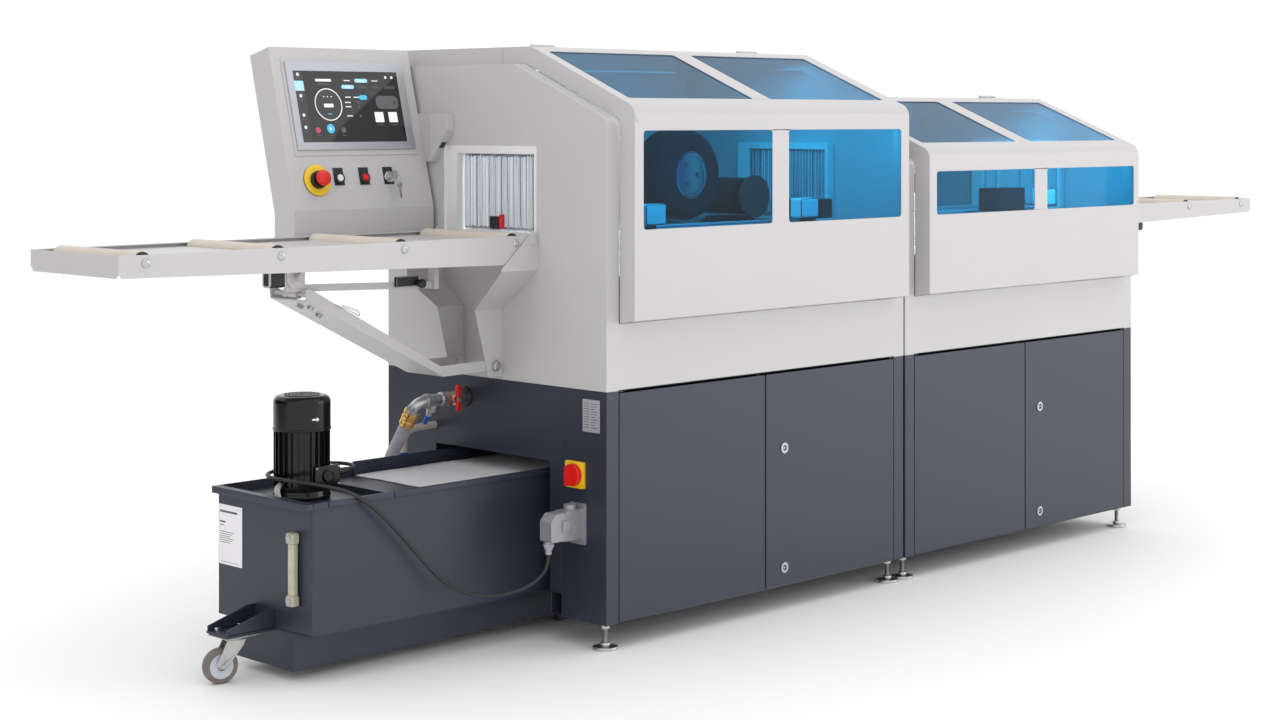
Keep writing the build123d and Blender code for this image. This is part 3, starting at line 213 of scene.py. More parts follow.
WHITE = surface("white_plastic", (0.78, 0.77, 0.76), 0.02, 20.0, (0.32, 0.42), 900.0, 0.05)
BEIGE = surface("beige_roller_cover", (0.60, 0.545, 0.475), 0.04, 25.0, (0.5, 0.6), 700.0, 0.2)
SILVER = surface("satin_silver", (0.50, 0.51, 0.55), 0.03, 3.0, (0.28, 0.36), 700.0, 0.08,
                 stretch=(0.05, 1, 1), Metallic=0.7)
FLEECE = surface("filter_fleece", (0.72, 0.72, 0.75), 0.06, 120.0, (0.85, 0.95), 1600.0, 0.9, 0.001,
                 Sheen_Weight=0.3)
HOSE = surface("ribbed_hose", (0.34, 0.32, 0.37), 0.07, 30.0, (0.38, 0.5), 400.0, 0.1)
TREAD = surface("caster_tread", (0.16, 0.135, 0.12), 0.08, 60.0, (0.5, 0.62), 900.0, 0.2)
WHEEL_RIM = surface("caster_rim", (0.52, 0.54, 0.60), 0.04, 60.0, (0.35, 0.45), 900.0, 0.08)
BLUE = surface("blue_plastic", (0.01, 0.09, 0.42), 0.08, 60.0, (0.3, 0.4), 900.0, 0.08)
ABRASIVE = surface("abrasive", (0.07, 0.055, 0.05), 0.35, 400.0, (0.8, 0.95), 2200.0, 0.9, 0.001)
PAPER = surface("label_paper", (0.80, 0.78, 0.80), 0.02, 30.0, (0.45, 0.55), 1200.0, 0.05)
INK = surface("label_ink", (0.10, 0.10, 0.12), 0.1, 30.0, (0.5, 0.6), 900.0, 0.03)
FOIL = surface("rating_foil", (0.58, 0.58, 0.60), 0.03, 60.0, (0.3, 0.4), 700.0, 0.05, Metallic=0.6)
GAUGE = surface("gauge_plastic", (0.62, 0.60, 0.44), 0.08, 60.0, (0.15, 0.25), 300.0, 0.1,
                Transmission_Weight=0.25)
INNER = surface("inner_sheet", (0.42, 0.44, 0.46), 0.06, 6.0, (0.3, 0.45), 800.0, 0.1)
DISPLAY = surface("display_glass", (0.010, 0.010, 0.011), 0.3, 3.0, (0.04, 0.08), 30.0, 0.004,
                  Coat_Weight=0.6, Coat_Roughness=0.03)
PANE = clear("blue_pane", (0.012, 0.27, 0.54), 0.015, 1.0, IOR=1.14)
STRIP = clear("clear_strip", (0.90, 0.94, 0.97), 0.07, 0.9, IOR=1.35)
TRANSPARENT_TUBE = clear("clear_hose", (0.86, 0.84, 0.76), 0.2, 0.5, IOR=1.3)


def glow(name, color, strength):
    """Lit part of the display."""
    return surface(name, color, 0.04, 40.0, (0.4, 0.5), 200.0, 0.01, Emission_Color=(*color, 1),
                   Emission_Strength=strength)


UI_WHITE = glow("ui_white", (0.70, 0.72, 0.74), 0.5)
UI_BLUE = glow("ui_blue", (0.06, 0.42, 0.75), 0.5)
UI_PALE = glow("ui_pale_blue", (0.30, 0.62, 0.80), 0.45)
UI_GREY = glow("ui_grey", (0.09, 0.09, 0.095), 0.4)
UI_DIM = glow("ui_dim", (0.045, 0.046, 0.048), 0.35)
UI_RED = glow("ui_red", (0.42, 0.06, 0.09), 0.4)


# ---- mesh helpers ----
def linked(name, data):
    """New object in the scene."""
    made = bpy.data.objects.new(name, data)
    bpy.context.scene.collection.objects.link(made)
    return made


def mesh_piece(name, points, faces, material, body, smooth=True, sharp=40):
    """New piece from points in frame metres, riding on a body."""
    mesh = bpy.data.meshes.new(name)
    mesh.from_pydata([tuple(p) for p in points], [], faces)
    mesh.validate()
    mesh.update()
    piece = linked(name, mesh)
    mesh.materials.append(material)
    if smooth:
        mesh.shade_smooth()
        mesh.set_sharp_from_angle(angle=math.radians(sharp))
    if body:
        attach(piece, body)
    return piece


def bevelled(piece, width, segments=2, solid=True):
    """Round the edges; folded sheets are no clean solids and take neither clamp nor hardening."""
    modifier = piece.modifiers.new("edge", "BEVEL")
    modifier.width = width / 1000
    modifier.segments = segments
    modifier.limit_method = "ANGLE"
    modifier.angle_limit = math.radians(35)
    modifier.harden_normals = modifier.use_clamp_overlap = solid
    return piece


def rounded_sheet(node, width, split_angle=50):
    """Give a folded sheet node the small edge radius of bent steel."""
    piece = NODES[node]
    weld = piece.modifiers.new("weld", "WELD")
    weld.merge_threshold = 0.00002
    piece.data.shade_smooth()
    bevelled(piece, width, solid=False)
    split = piece.modifiers.new("split", "EDGE_SPLIT")
    split.split_angle = math.radians(split_angle)
    split.use_edge_sharp = False
    piece.modifiers.new("even", "WEIGHTED_NORMAL")


def tube_faces(rings, sides):
    """Faces between successive rings of points, and one over each end."""
    faces = []
    for ring in range(rings - 1):
        for step in range(sides):
            a, b = ring * sides + step, ring * sides + (step + 1) % sides
            faces.append((a, b, b + sides, a + sides))
    last = (rings - 1) * sides
    return faces + [tuple(reversed(range(sides))), tuple(range(last, last + sides))]


def lathe(name, base, direction, profile, material, body, segments=40, sharp=35):
    """Turned piece: profile holds (distance along the direction, radius) in millimetres."""
    forward = Vector(direction).normalized()
    side = forward.orthogonal().normalized()
    up = forward.cross(side)
    points = []
    for distance, radius in profile:
        for step in range(segments):
            angle = 2 * math.pi * step / segments
            spoke = side * math.cos(angle) + up * math.sin(angle)
            points.append(base + (forward * distance + spoke * radius) / 1000)
    faces = tube_faces(len(profile), segments)
    return mesh_piece(name, points, faces, material, body, sharp=sharp)


def block(name, low, high, material, body, edge=1.0, matrix=None):
    """Box with rounded edges between two corners, in machine millimetres or in a matrix's space."""
    points = []
    for index in range(8):
        corner = [low[i] if not index >> i & 1 else high[i] for i in range(3)]
        points.append(matrix @ (Vector(corner) / 1000) if matrix else place(*corner))
    faces = [(0, 2, 3, 1), (4, 5, 7, 6), (0, 1, 5, 4), (2, 6, 7, 3), (0, 4, 6, 2), (1, 3, 7, 5)]
    return bevelled(mesh_piece(name, points, faces, material, body), edge, 3)


def outline_plate(name, outline, thickness, matrix, material, body, lift=0.0, edge=0.0):
    """Flat plate from an outline in a matrix's plane, in millimetres."""
    points = [matrix @ (Vector((a, b, height)) / 1000)
              for height in (lift, lift + thickness) for a, b in outline]
    piece = mesh_piece(name, points, tube_faces(2, len(outline)), material, body)
    return bevelled(piece, edge) if edge else piece


def circle_outline(x, y, radius, count=36):
    steps = [2 * math.pi * step / count for step in range(count)]
    return [(x + radius * math.cos(t), y + radius * math.sin(t)) for t in steps]


def pill_outline(x0, x1, y0, y1, radius, steps=6):
    """Rectangle with round corners."""
    corners = [(x1 - radius, y1 - radius, 0), (x0 + radius, y1 - radius, 90),
               (x0 + radius, y0 + radius, 180), (x1 - radius, y0 + radius, 270)]
    outline = []
    for cx, cy, start in corners:
        for step in range(steps + 1):
            angle = math.radians(start + 90 * step / steps)
            outline.append((cx + radius * math.cos(angle), cy + radius * math.sin(angle)))
    return outline


def joined(name, pieces):
    """Several pieces of one body as one mesh, with their modifiers worked in."""
    bpy.context.view_layer.update()
    graph = bpy.context.evaluated_depsgraph_get()
    body, materials = pieces[0]["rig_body"], []
    whole = bmesh.new()
    for piece in pieces:
        mesh = bpy.data.meshes.new_from_object(piece.evaluated_get(graph))
        mesh.transform(piece.matrix_world)
        material = piece.data.materials[0]
        if material not in materials:
            materials.append(material)
        first = len(whole.faces)
        whole.from_mesh(mesh)
        whole.faces.ensure_lookup_table()
        for face in whole.faces[first:]:
            face.material_index = materials.index(material)
        bpy.data.meshes.remove(mesh)
    for piece in pieces:
        bpy.data.objects.remove(piece)
    mesh = bpy.data.meshes.new(name)
    whole.to_mesh(mesh)
    whole.free()
    for material in materials:
        mesh.materials.append(material)
    result = linked(name, mesh)
    normals = result.modifiers.new("normals", "WEIGHTED_NORMAL")
    normals.keep_sharp = True
    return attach(result, body)


def wire_tube(name, points, radius, material, body, cyclic=False):
    """Bent wire through points given in frame metres."""
    curve = bpy.data.curves.new(name, "CURVE")
    curve.dimensions = "3D"
    curve.bevel_depth = radius / 1000
    curve.bevel_resolution = 4
    spline = curve.splines.new("NURBS")
    spline.points.add(len(points) - 1)
    for control, point in zip(spline.points, points):
        control.co = (*point, 1)
    spline.order_u = 3
    spline.use_endpoint_u = not cyclic
    spline.use_cyclic_u = cyclic
    spline.resolution_u = 10
    curve.materials.append(material)
    piece = linked(name, curve)
    if body:
        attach(piece, body)
    return piece


def button_head(name, base, direction, radius, material, body, height=4.5):
    """Domed socket-head screw with its hexagon recess."""
    dome = []
    for step in range(7):
        angle = math.radians(90 * step / 6)
        dome.append((height * math.sin(angle), radius * (0.45 + 0.55 * math.cos(angle))))
    socket = [(height, radius * 0.42), (height * 0.35, radius * 0.40)]
    return lathe(name, base, direction, [(0, radius)] + dome + socket, material, body, 24)


def hex_bolt(name, base, direction, across, height, material, body):
    """Hexagon head with a chamfered top on a round washer."""
    corner = across / math.sqrt(3)
    washer = lathe(name + "_washer", base, direction, [(0, corner * 1.25), (1.4, corner * 1.25)],
                   material, body, 28)
    profile = [(1.4, corner), (height - 1, corner), (height, corner * 0.82), (height, 0.2)]
    head = lathe(name + "_head", base, direction, profile, material, body, 6, 20)
    return joined(name, [washer, head])


# ---- camera, floor and light ----
def make_camera():
    data = bpy.data.cameras.new("camera")
    data.lens = 61.49
    data.sensor_width = 36.0
    data.shift_x = -0.0041
    data.shift_y = -0.1956
    data.clip_end = 200
    camera = linked("camera", data)
    camera.location = (-4.8206, -4.1528, 1.2846)
    camera.rotation_euler = (math.radians(90.227), 0, math.radians(-45.274))
    bpy.context.scene.camera = camera


def soft_light(name, location, target, size, power):
    data = bpy.data.lights.new(name, "AREA")
    data.shape = "RECTANGLE"
    data.size, data.size_y = size
    data.energy = power
    lamp = linked(name, data)
    lamp.location = location
    aim = Vector(target) - Vector(location)
    lamp.rotation_euler = aim.to_track_quat("-Z", "Y").to_euler()
    return lamp


SQUARE = ((-1, -1), (1, -1), (1, 1), (-1, 1))


def shadow_flag(name, centre, width, height):
    """Black card beside the set: the end walls mirror it and stay deep in tone."""
    made = surface("flag_cloth", (0.012, 0.012, 0.014), 0.1, 2.0, (0.9, 1.0), 40.0, 0.05)
    toward = Vector((-centre[0], -centre[1], 0)).normalized()
    along = Vector((-toward.y, toward.x, 0)) * width / 2
    middle = Vector(centre)
    corners = [middle + along * a + Vector((0, 0, b * height / 2)) for a, b in SQUARE]
    card = mesh_piece(name, corners, [(0, 1, 2, 3)], made, None, False)
    card.visible_camera = False
    card.visible_diffuse = False
    card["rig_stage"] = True


def make_studio():
    """Plain white surroundings and floor, large soft boxes, one black flag."""
    scene = bpy.context.scene
    scene.view_settings.view_transform = "Standard"
    world = bpy.data.worlds.new("studio")
    world.use_nodes = True
    background = world.node_tree.nodes["Background"]
    background.inputs["Color"].default_value = (1, 1, 1, 1)
    background.inputs["Strength"].default_value = 1.08
    scene.world = world
    corners = [(60.0 * a, 60.0 * b, 0) for a, b in SQUARE]
    white = surface("studio_floor", (0.985, 0.985, 0.985), 0.003, 0.5, (0.6, 0.7), 30.0, 0.01)
    floor = mesh_piece("studio_floor", corners, [(0, 1, 2, 3)], white, None, False)
    floor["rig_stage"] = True
    shadow_flag("shadow_flag", (-4.6, 3.4, 1.5), 6.5, 3.0)
    soft_light("front_box", (5.2, -6.0, 1.9), (0.3, -0.4, 0.7), (5, 3.4), 105)
    soft_light("top_box", (0, -0.8, 5.0), (0, 0, 0.8), (6, 4), 30)


make_camera()
make_studio()


# ---- finishes of the carried-over nodes ----
def finish_node(node, material):
    mesh = NODES[node].data
    mesh.materials.clear()
    mesh.materials.append(material)


FINISHES = {
    "levelling_feet": ZINC, "transport_bed": INNER, "grinder_units": BLACK,
    "opening_trims": WHITE, "screen_frame": SILVER, "screen_glass": DISPLAY,
    "button_bases": BLACK, "connector_base": CAST_GREY, "connector_plug": CAST_GREY,
    "main_switch_plate": YELLOW, "main_switch_knob": RED, "drain_pipe": GALVANISED,
    "press_arm": ZINC, "drive_rim": ZINC, "drive_tyre": TYRE, "base_disc": ABRASIVE,
    "edge_disc": ABRASIVE, "estop_button": RED, "start_button": WHITE, "stop_button": RED,
    "key_switch": CHROME, "filter_fleece": FLEECE, "pump_motor": GLOSS_BLACK,
    "caster_fork": ZINC, "caster_wheel": TREAD, "power_cable": RUBBER, "drain_hose": HOSE,
    "valve_handle": RED, "hood_left_panes": PANE, "hood_right_panes": PANE,
    "strip_curtains": STRIP,
}
LIGHT_NODES = ("upper_body_left", "upper_body_right", "hood_left", "hood_right", "panel_housing",
               "table_brackets", "infeed_table", "outfeed_table", "infeed_strut", "outfeed_strut")
DARK_NODES = ("lower_cabinet_left", "lower_cabinet_right", "door_left_a", "door_left_b",
              "door_right_a", "door_right_b", "tank")


def light_hoods():
    """Two lamps in each hood, above the front windows and under the roof, so the works show."""
    for name, x, drop in (("left", 575.0, 0.0), ("right", 1733.0, 118.0)):
        for row, y, z, power in (("front", -28, 1282, 4.8), ("roof", 350, 1440, 5.0)):
            lamp = soft_light(f"hood_lamp_{row}_{name}", place(x, y, z - drop), place(x, 300, 1000),
                              (0.95, 0.04), power)
            lamp.visible_camera = False
            lamp.visible_transmission = False
            lamp.visible_glossy = False


light_hoods()


SHEET_EDGE, SMALL_EDGE = 1.2, 0.7
SHALLOW_FOLDS = {"panel_housing": 12}


def finish_nodes():
    """Materials of all nodes; a bevel would draw false lines on doors, tables, upper housings."""
    for node in LIGHT_NODES:
        finish_node(node, LIGHT)
        if not node.endswith("table") and not node.startswith("upper_body"):
            rounded_sheet(node, SHEET_EDGE, SHALLOW_FOLDS.get(node, 50))
    for node in DARK_NODES:
        finish_node(node, DARK)
        if not node.startswith("door"):
            rounded_sheet(node, SHEET_EDGE)
    for node, material in FINISHES.items():
        finish_node(node, material)
    for end in ("infeed", "outfeed"):
        for number in range(1, 5):
            finish_node(f"{end}_roller_{number}", BEIGE)
    for side in ("left", "right"):
        for number in (1, 2):
            finish_node(f"door_{side}_lock_{number}", CHROME)
    for node in ("opening_trims", "caster_fork", "screen_frame", "main_switch_plate",
                 "grinder_units"):
        rounded_sheet(node, SMALL_EDGE)


finish_nodes()


# ---- cords ----
CABLE_ROUTE = [
    (-511, 380, 452), (-479, 381, 453), (-450, 397, 454), (-436, 428, 455), (-440, 464, 455),
    (-462, 494, 454), (-497, 514, 452), (-540, 522, 450), (-585, 518, 449), (-625, 500, 448),
    (-654, 468, 449), (-670, 426, 450), (-672, 378, 451), (-663, 328, 450), (-648, 280, 448),
    (-624, 247, 442), (-586, 229, 429), (-528, 215, 385), (-468, 214, 328), (-412, 212, 268),
    (-362, 205, 213), (-322, 190, 176), (-276, 170, 156), (-228, 148, 150), (-180, 125, 156),
    (-139, 107, 172), (-98, 99, 204), (-98, 99, 238),
]
HOSE_ROUTE = [
    (-160, 561.5, 510.1), (-160, 590, 469), (-163, 622, 420), (-168, 645, 362),
    (-172, 657, 300), (-175, 661, 245), (-175, 661, 195),
]


def spline_points(piece):
    """The smooth line that a curve's spline follows, in frame metres."""
    bpy.context.view_layer.update()
    bare = piece.copy()
    bare.data = piece.data.copy()
    bare.data.bevel_depth = 0
    bpy.context.scene.collection.objects.link(bare)
    bpy.context.view_layer.update()
    graph = bpy.context.evaluated_depsgraph_get()
    line = bpy.data.meshes.new_from_object(bare.evaluated_get(graph))
    points = [bare.matrix_world @ vertex.co for vertex in line.vertices]
    bpy.data.objects.remove(bare)
    bpy.data.meshes.remove(line)
    return points


def line_length(points):
    return sum((b - a).length for a, b in zip(points, points[1:]))


def ribbed_tube(name, line, radius, rib, pitch, material, body, sides=28, per_rib=6):
    """Corrugated tube along a line, with real ribs."""
    total = line_length(line)
    steps = int(total * 1000 / pitch * per_rib)
    points = []
    previous = None
    for step in range(steps + 1):
        at = total * step / steps
        centre, heading = point_along(line, at)
        if previous is None:
            previous = heading.orthogonal().normalized()
        side = (previous - heading * previous.dot(heading)).normalized()
        previous = side
        up = heading.cross(side)
        swell = radius - rib + rib * (0.5 + 0.5 * math.cos(2 * math.pi * at * 1000 / pitch))
        for spoke in range(sides):
            angle = 2 * math.pi * spoke / sides
            offset = side * math.cos(angle) + up * math.sin(angle)
            points.append(centre + offset * swell / 1000)
    return mesh_piece(name, points, tube_faces(steps + 1, sides), material, body)


def point_along(line, at):
    """Point and heading at a distance along a line."""
    walked = 0.0
    for a, b in zip(line, line[1:]):
        length = (b - a).length
        if walked + length >= at - 1e-9:
            share = (at - walked) / length
            return a.lerp(b, share), (b - a).normalized()
        walked += length
    return line[-1], (line[-1] - line[-2]).normalized()


def make_cable():
    points = [place(*p) for p in CABLE_ROUTE]
    cable = wire_tube("motor_cable", points, 4.5, RUBBER, "tank")
    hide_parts("power_cable")
    relief = lathe("cable_gland_motor", points[0], (1, 0, 0),
                   [(-2, 9.5), (4, 9.5), (5, 8), (14, 7.2), (22, 5.6), (26, 4.8)], BLACK, "tank")
    length = line_length(spline_points(cable))
    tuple(points[0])


def make_hose():
    points = [place(*p) for p in HOSE_ROUTE]
    guide = wire_tube("hose_guide", points, 1.0, HOSE, None)
    line = spline_points(guide)
    bpy.data.objects.remove(guide)
    hose = ribbed_tube("drain_hose_ribbed", line, 16.5, 1.8, 7.5, HOSE, "tank")
    direction = (points[0] - points[1]).normalized()
    nut_base = points[0] - direction * 0.0003
    profile = [(0, 18.5), (1, 19.5), (7, 19.5), (8, 17.6), (11, 17.6), (12, 19.2), (17, 19.2),
               (19, 17)]
    nut = lathe("hose_coupling_nut", nut_base, direction, profile, BRASS, "tank")
    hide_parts("drain_hose")
    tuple(points[0])
    line_length(line)


make_cable()
make_hose()


# ---- display ----
GLASS_LIFT, LAYER_LIFT, UI_THICKNESS = 4.6, 0.16, 0.15


def ui(name, outline, material, layer):
    return outline_plate(name, outline, UI_THICKNESS, PANEL, material, "machine",
                         GLASS_LIFT + LAYER_LIFT * layer)


def ring_plate(name, x, y, outer, inner, material, layer):
    """Flat ring on the display."""
    count = 64
    low = GLASS_LIFT + LAYER_LIFT * layer
    points = [panel_point(a, b, lift) for lift in (low, low + UI_THICKNESS)
              for radius in (outer, inner) for a, b in circle_outline(x, y, radius, count)]
    faces = []
    for step in range(count):
        n = (step + 1) % count
        faces.append((2 * count + step, 2 * count + n, 3 * count + n, 3 * count + step))
        faces.append((step, count + step, count + n, n))
        faces.append((step, n, 2 * count + n, 2 * count + step))
        faces.append((count + n, count + step, 3 * count + step, 3 * count + n))
    return mesh_piece(name, points, faces, material, "machine")


def make_display():
    """Generic control screen: icon column, dial, buttons, pills and tiles, with no lettering."""
    x0, s0, wide, tall = -396.0, 173.0, 331.0, 186.0

    def at(u, v):
        return x0 + u * wide, s0 + (1 - v) * tall

    def pill(u0, u1, v0, v1, material, radius=1, layer=1):
        a, top = at(u0, v0)
        b, low = at(u1, v1)
        limit = min(radius, (top - low) / 2 - 0.01, (b - a) / 2 - 0.01)
        parts.append(ui(f"ui_{len(parts)}", pill_outline(a, b, low, top, limit), material, layer))

    def dot(u, v, radius, material, layer=1):
        parts.append(ui(f"ui_{len(parts)}", circle_outline(*at(u, v), radius), material, layer))

    parts = []
    pill(0.0, 0.085, 0.0, 1.0, UI_DIM, 0.5, 0)
    pill(0.0, 0.085, 0.14, 0.28, UI_PALE, 1.5)
    for v in (0.05, 0.35, 0.62, 0.79):
        dot(0.043, v, 4.2, UI_WHITE)
        pill(0.022, 0.064, v + 0.05, v + 0.062, UI_GREY)
    dot(0.043, 0.19, 5.0, UI_WHITE, 2)
    dot(0.043, 0.19, 3.6, UI_PALE, 3)
    pill(0.03, 0.056, 0.25, 0.262, UI_WHITE, 1, 2)
    pill(0.20, 0.35, 0.11, 0.145, UI_WHITE, 2)
    pill(0.215, 0.335, 0.175, 0.19, UI_GREY)
    cx, cy = at(0.29, 0.47)
    parts.append(ui("ui_dial", circle_outline(cx, cy, 41, 64), UI_GREY, 1))
    parts.append(ring_plate("ui_dial_ring", cx, cy, 42.5, 40.0, UI_WHITE, 2))
    parts.append(ui("ui_dial_face", circle_outline(cx, cy, 38.5, 64), UI_DIM, 2))
    for step in range(3):
        dot(0.255 + 0.035 * step, 0.36, 1.8, UI_WHITE, 3)
    pill(0.245, 0.335, 0.46, 0.51, UI_WHITE, 2, 3)
    pill(0.27, 0.31, 0.60, 0.61, UI_BLUE, 1, 3)
    dot(0.155, 0.83, 8.0, UI_RED)
    dot(0.275, 0.81, 12.0, UI_BLUE)
    px, py = at(0.275, 0.81)
    arrow = [(px - 3, py - 4.5), (px + 5, py), (px - 3, py + 4.5)]
    parts.append(ui("ui_play", arrow, UI_WHITE, 2))
    dot(0.395, 0.83, 7.5, UI_GREY)
    for u in (0.155, 0.275, 0.395):
        pill(u - 0.014, u + 0.014, 0.90, 0.91, UI_GREY)
    for u0, u1, material in ((0.44, 0.56, UI_DIM), (0.575, 0.70, UI_PALE), (0.71, 0.83, UI_DIM)):
        pill(u0, u1, 0.10, 0.155, material, 5)
        pill(u0 + 0.03, u1 - 0.03, 0.122, 0.134, UI_WHITE, 1, 2)
    for index in range(4):
        u = 0.44 + 0.135 * index
        pill(u, u + 0.12, 0.19, 0.245, UI_PALE if index == 0 else UI_DIM, 5)
        pill(u + 0.035, u + 0.085, 0.212, 0.224, UI_WHITE if index == 0 else UI_GREY, 1, 2)
    pill(0.455, 0.51, 0.30, 0.31, UI_GREY)
    pill(0.70, 0.77, 0.30, 0.31, UI_GREY)
    pill(0.595, 0.67, 0.335, 0.40, UI_BLUE, 5)
    for u, v in ((0.46, 0.365), (0.54, 0.365), (0.45, 0.44), (0.45, 0.50), (0.45, 0.63)):
        pill(u, u + 0.055, v - 0.007, v + 0.007, UI_WHITE)
    for v in (0.44, 0.50, 0.63):
        dot(0.58, v, 3.2, UI_GREY)
    pill(0.75, 0.97, 0.34, 0.53, UI_GREY, 14)
    dot(0.935, 0.435, 4.5, UI_DIM, 2)
    for u in (0.72, 0.855):
        pill(u, u + 0.085, 0.575, 0.72, UI_WHITE)
        pill(u + 0.01, u + 0.075, 0.75, 0.76, UI_GREY)
    for u in (0.885, 0.945):
        dot(u, 0.075, 3.6, UI_WHITE)
    joined("display_picture", parts)


make_display()


# ---- operator's devices ----
EMERGENCY_S, BUTTON_S = 76, 80


def make_devices():
    """Emergency stop on its yellow disc, start and stop buttons with bezels, key switch."""
    disc = lathe("emergency_disc", panel_point(EMERGENCY_X, EMERGENCY_S, 3.0), PANEL_OUT,
                 [(0, 40), (0.6, 40), (1.0, 39.4), (1.0, 22.4)], YELLOW, "machine", 64)
    collar = lathe("emergency_collar", panel_point(EMERGENCY_X, EMERGENCY_S, 3.2), PANEL_OUT,
                   [(0, 22.4), (10, 22.4), (11.4, 21), (11.4, 15), (4, 14.5)], BLACK, "machine", 48)
    cap = [(11, 6.8), (17.8, 6.8), (18, 13.4), (21, 16.5), (25, 19.6), (30, 20.3), (34, 19.6),
           (37.5, 16), (39.4, 9), (39.8, 2)]
    mushroom = lathe("emergency_mushroom", panel_point(EMERGENCY_X, EMERGENCY_S, 0), PANEL_OUT, cap,
                     RED, "estop_button", 48, sharp=60)
    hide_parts("estop_button")
    for name, x, body, material, slot in (
            ("start", START_X, "start_button", WHITE, "white_plastic"),
            ("stop", STOP_X, "stop_button", RED, "signal_red")):
        ring = lathe(f"{name}_bezel", panel_point(x, BUTTON_S, 2), PANEL_OUT,
                     [(0, 14.8), (4.2, 14.8), (5.6, 13.4), (5.6, 10.4), (4.4, 9.9)], BLACK,
                     "machine")
        cap = [(0, 9.0), (7.4, 9.0), (9.1, 8.6), (9.5, 7.6), (9.3, 4), (9.2, 0.3)]
        button = lathe(f"{name}_cap", panel_point(x, BUTTON_S, 0), PANEL_OUT, cap, material, body)
        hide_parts(body)
    make_key()


def make_key():
    """Chromed lock barrel with the key in it, split ring and hanging spare key."""
    x, s = KEY_X, BUTTON_S
    ring = lathe("key_bezel", panel_point(x, s, 2), PANEL_OUT,
                 [(0, 14.8), (5, 14.8), (6.4, 13.6), (6.4, 9.4)], CHROME, "machine")
    barrel = lathe("key_barrel", panel_point(x, s, 5), PANEL_OUT,
                   [(-8, 8.9), (5, 8.9), (6.2, 8), (6.2, 0.3)], CHROME, "key_switch")
    key = PANEL @ Matrix.Translation(Vector((x, s, 0)) / 1000)
    blade = block("key_blade", (-1.1, -4, 10), (1.1, 4, 20), CHROME, "key_switch", 0.4, key)
    edge = key @ Matrix.Rotation(math.radians(90), 4, "Y")
    bow = outline_plate("key_bow", circle_outline(-29, 0, 11.5, 32), 2.2, edge, CHROME,
                        "key_switch", -1.1, 0.4)
    loop_centre = panel_point(x + 5, s - 11, 31)
    loop = []
    for step in range(12):
        angle = 2 * math.pi * step / 12
        offset = Vector((math.cos(angle), 0.2, 0)) + PANEL_UP * math.sin(angle)
        loop.append(loop_centre + offset * 0.0105)
    ring_wire = wire_tube("key_ring", loop, 0.8, CHROME, "key_switch", True)
    spare = key @ Matrix.Translation(Vector((8, -32, 30)) / 1000)
    head = outline_plate("spare_key_bow", circle_outline(0, 6, 9.5, 32), 2.0, spare, CHROME,
                         "key_switch", -1, 0.4)
    teeth = [(-3.2, -2), (-3.2, -28), (-1, -31), (1.5, -30), (1.5, -26), (3.2, -24), (1.8, -21),
             (3.2, -18), (1.8, -14), (3.2, -11), (3.2, -2)]
    shank = outline_plate("spare_key_blade", teeth, 1.8, spare, CHROME, "key_switch", -0.9, 0.2)
    whole = joined("key_set", [barrel, blade, bow, head, shank])
    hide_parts("key_switch")


make_devices()


# ---- curtains ----
def make_strip_curtain(name, x, wave):
    """Soft clear strips, each bowed across its width and flaring a little at its foot."""
    first, pitch, count = 262.0, 23.8, 12
    low, high, across, down = 1003.0, 1194.0, 6, 14
    points, faces = [], []
    for number in range(count):
        start = first + number * pitch
        lean = rng.uniform(-1.5, 1.5)
        base = len(points)
        for row in range(down + 1):
            share = row / down
            for column in range(across + 1):
                u = column / across
                bow = 1.6 * math.sin(math.pi * u) * (1 if number % 2 else -1)
                swing = wave * (share ** 2) * 2.0 + lean * share
                y = start + u * (pitch + 1.5)
                points.append(place(x + bow + swing, y, high - share * (high - low)))
        for row in range(down):
            for column in range(across):
                a = base + row * (across + 1) + column
                faces.append((a, a + 1, a + across + 2, a + across + 1))
    piece = mesh_piece(name, points, faces, STRIP, "machine")
    thick = piece.modifiers.new("sheet", "SOLIDIFY")
    thick.thickness = 0.0014
    thick.offset = 0
    # The thin white bars below are painted highlights, standing for glints of light along the clear
    # strips, not folds.
    painted_highlight_bars = []
    for number in range(2 * count):
        y = first + number * pitch / 2 + rng.uniform(-2.5, 2.5) + 1.5
        top, foot = high - rng.uniform(0, 4), low + rng.uniform(0, 12)
        middle, wide = x + wave * 2.0, rng.uniform(0.7, 1.7)
        painted_highlight_bars.append(block(f"{name}_fold_{number}", (middle - 1.8, y, foot),
                           (middle + 1.8, y + wide, top), WHITE, "machine", 0.3))
    joined(f"{name}_folds", painted_highlight_bars)
    return piece


def make_curtains():
    for number, (x, side) in enumerate(((0.0, 1), (1150.0, -1), (1158.0, 1), (2308.0, -1))):
        curtain = make_strip_curtain(f"strip_curtain_{number + 1}", x + side * 23.5, side)
        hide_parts("strip_curtains")


make_curtains()


# ---- fleece ----
def make_fleece():
    """Filter fleece laid on the tray, slightly rumpled."""
    low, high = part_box("filter_fleece")
    rows, columns = 54, 34
    points, faces = [], []
    for row in range(rows + 1):
        for column in range(columns + 1):
            u, v = row / rows, column / columns
            x = low.x + u * (high.x - low.x)
            y = low.y + v * (high.y - low.y)
            rumple = 0.0011 * math.sin(9 * u + 3 * math.sin(5 * v)) * math.sin(7 * v + 2 * u)
            points.append(Vector((x, y, low.z + 0.0024 + abs(rumple))))
    for row in range(rows):
        for column in range(columns):
            a = row * (columns + 1) + column
            faces.append((a, a + columns + 1, a + columns + 2, a + 1))
    piece = mesh_piece("filter_fleece_sheet", points, faces, FLEECE, "tank")
    thick = piece.modifiers.new("felt", "SOLIDIFY")
    thick.thickness = 0.002
    thick.offset = -1
    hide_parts("filter_fleece")


make_fleece()


# ---- screws and small hardware ----
def mirrored(x, end):
    return x if end == "infeed" else 2 * MIDDLE - x


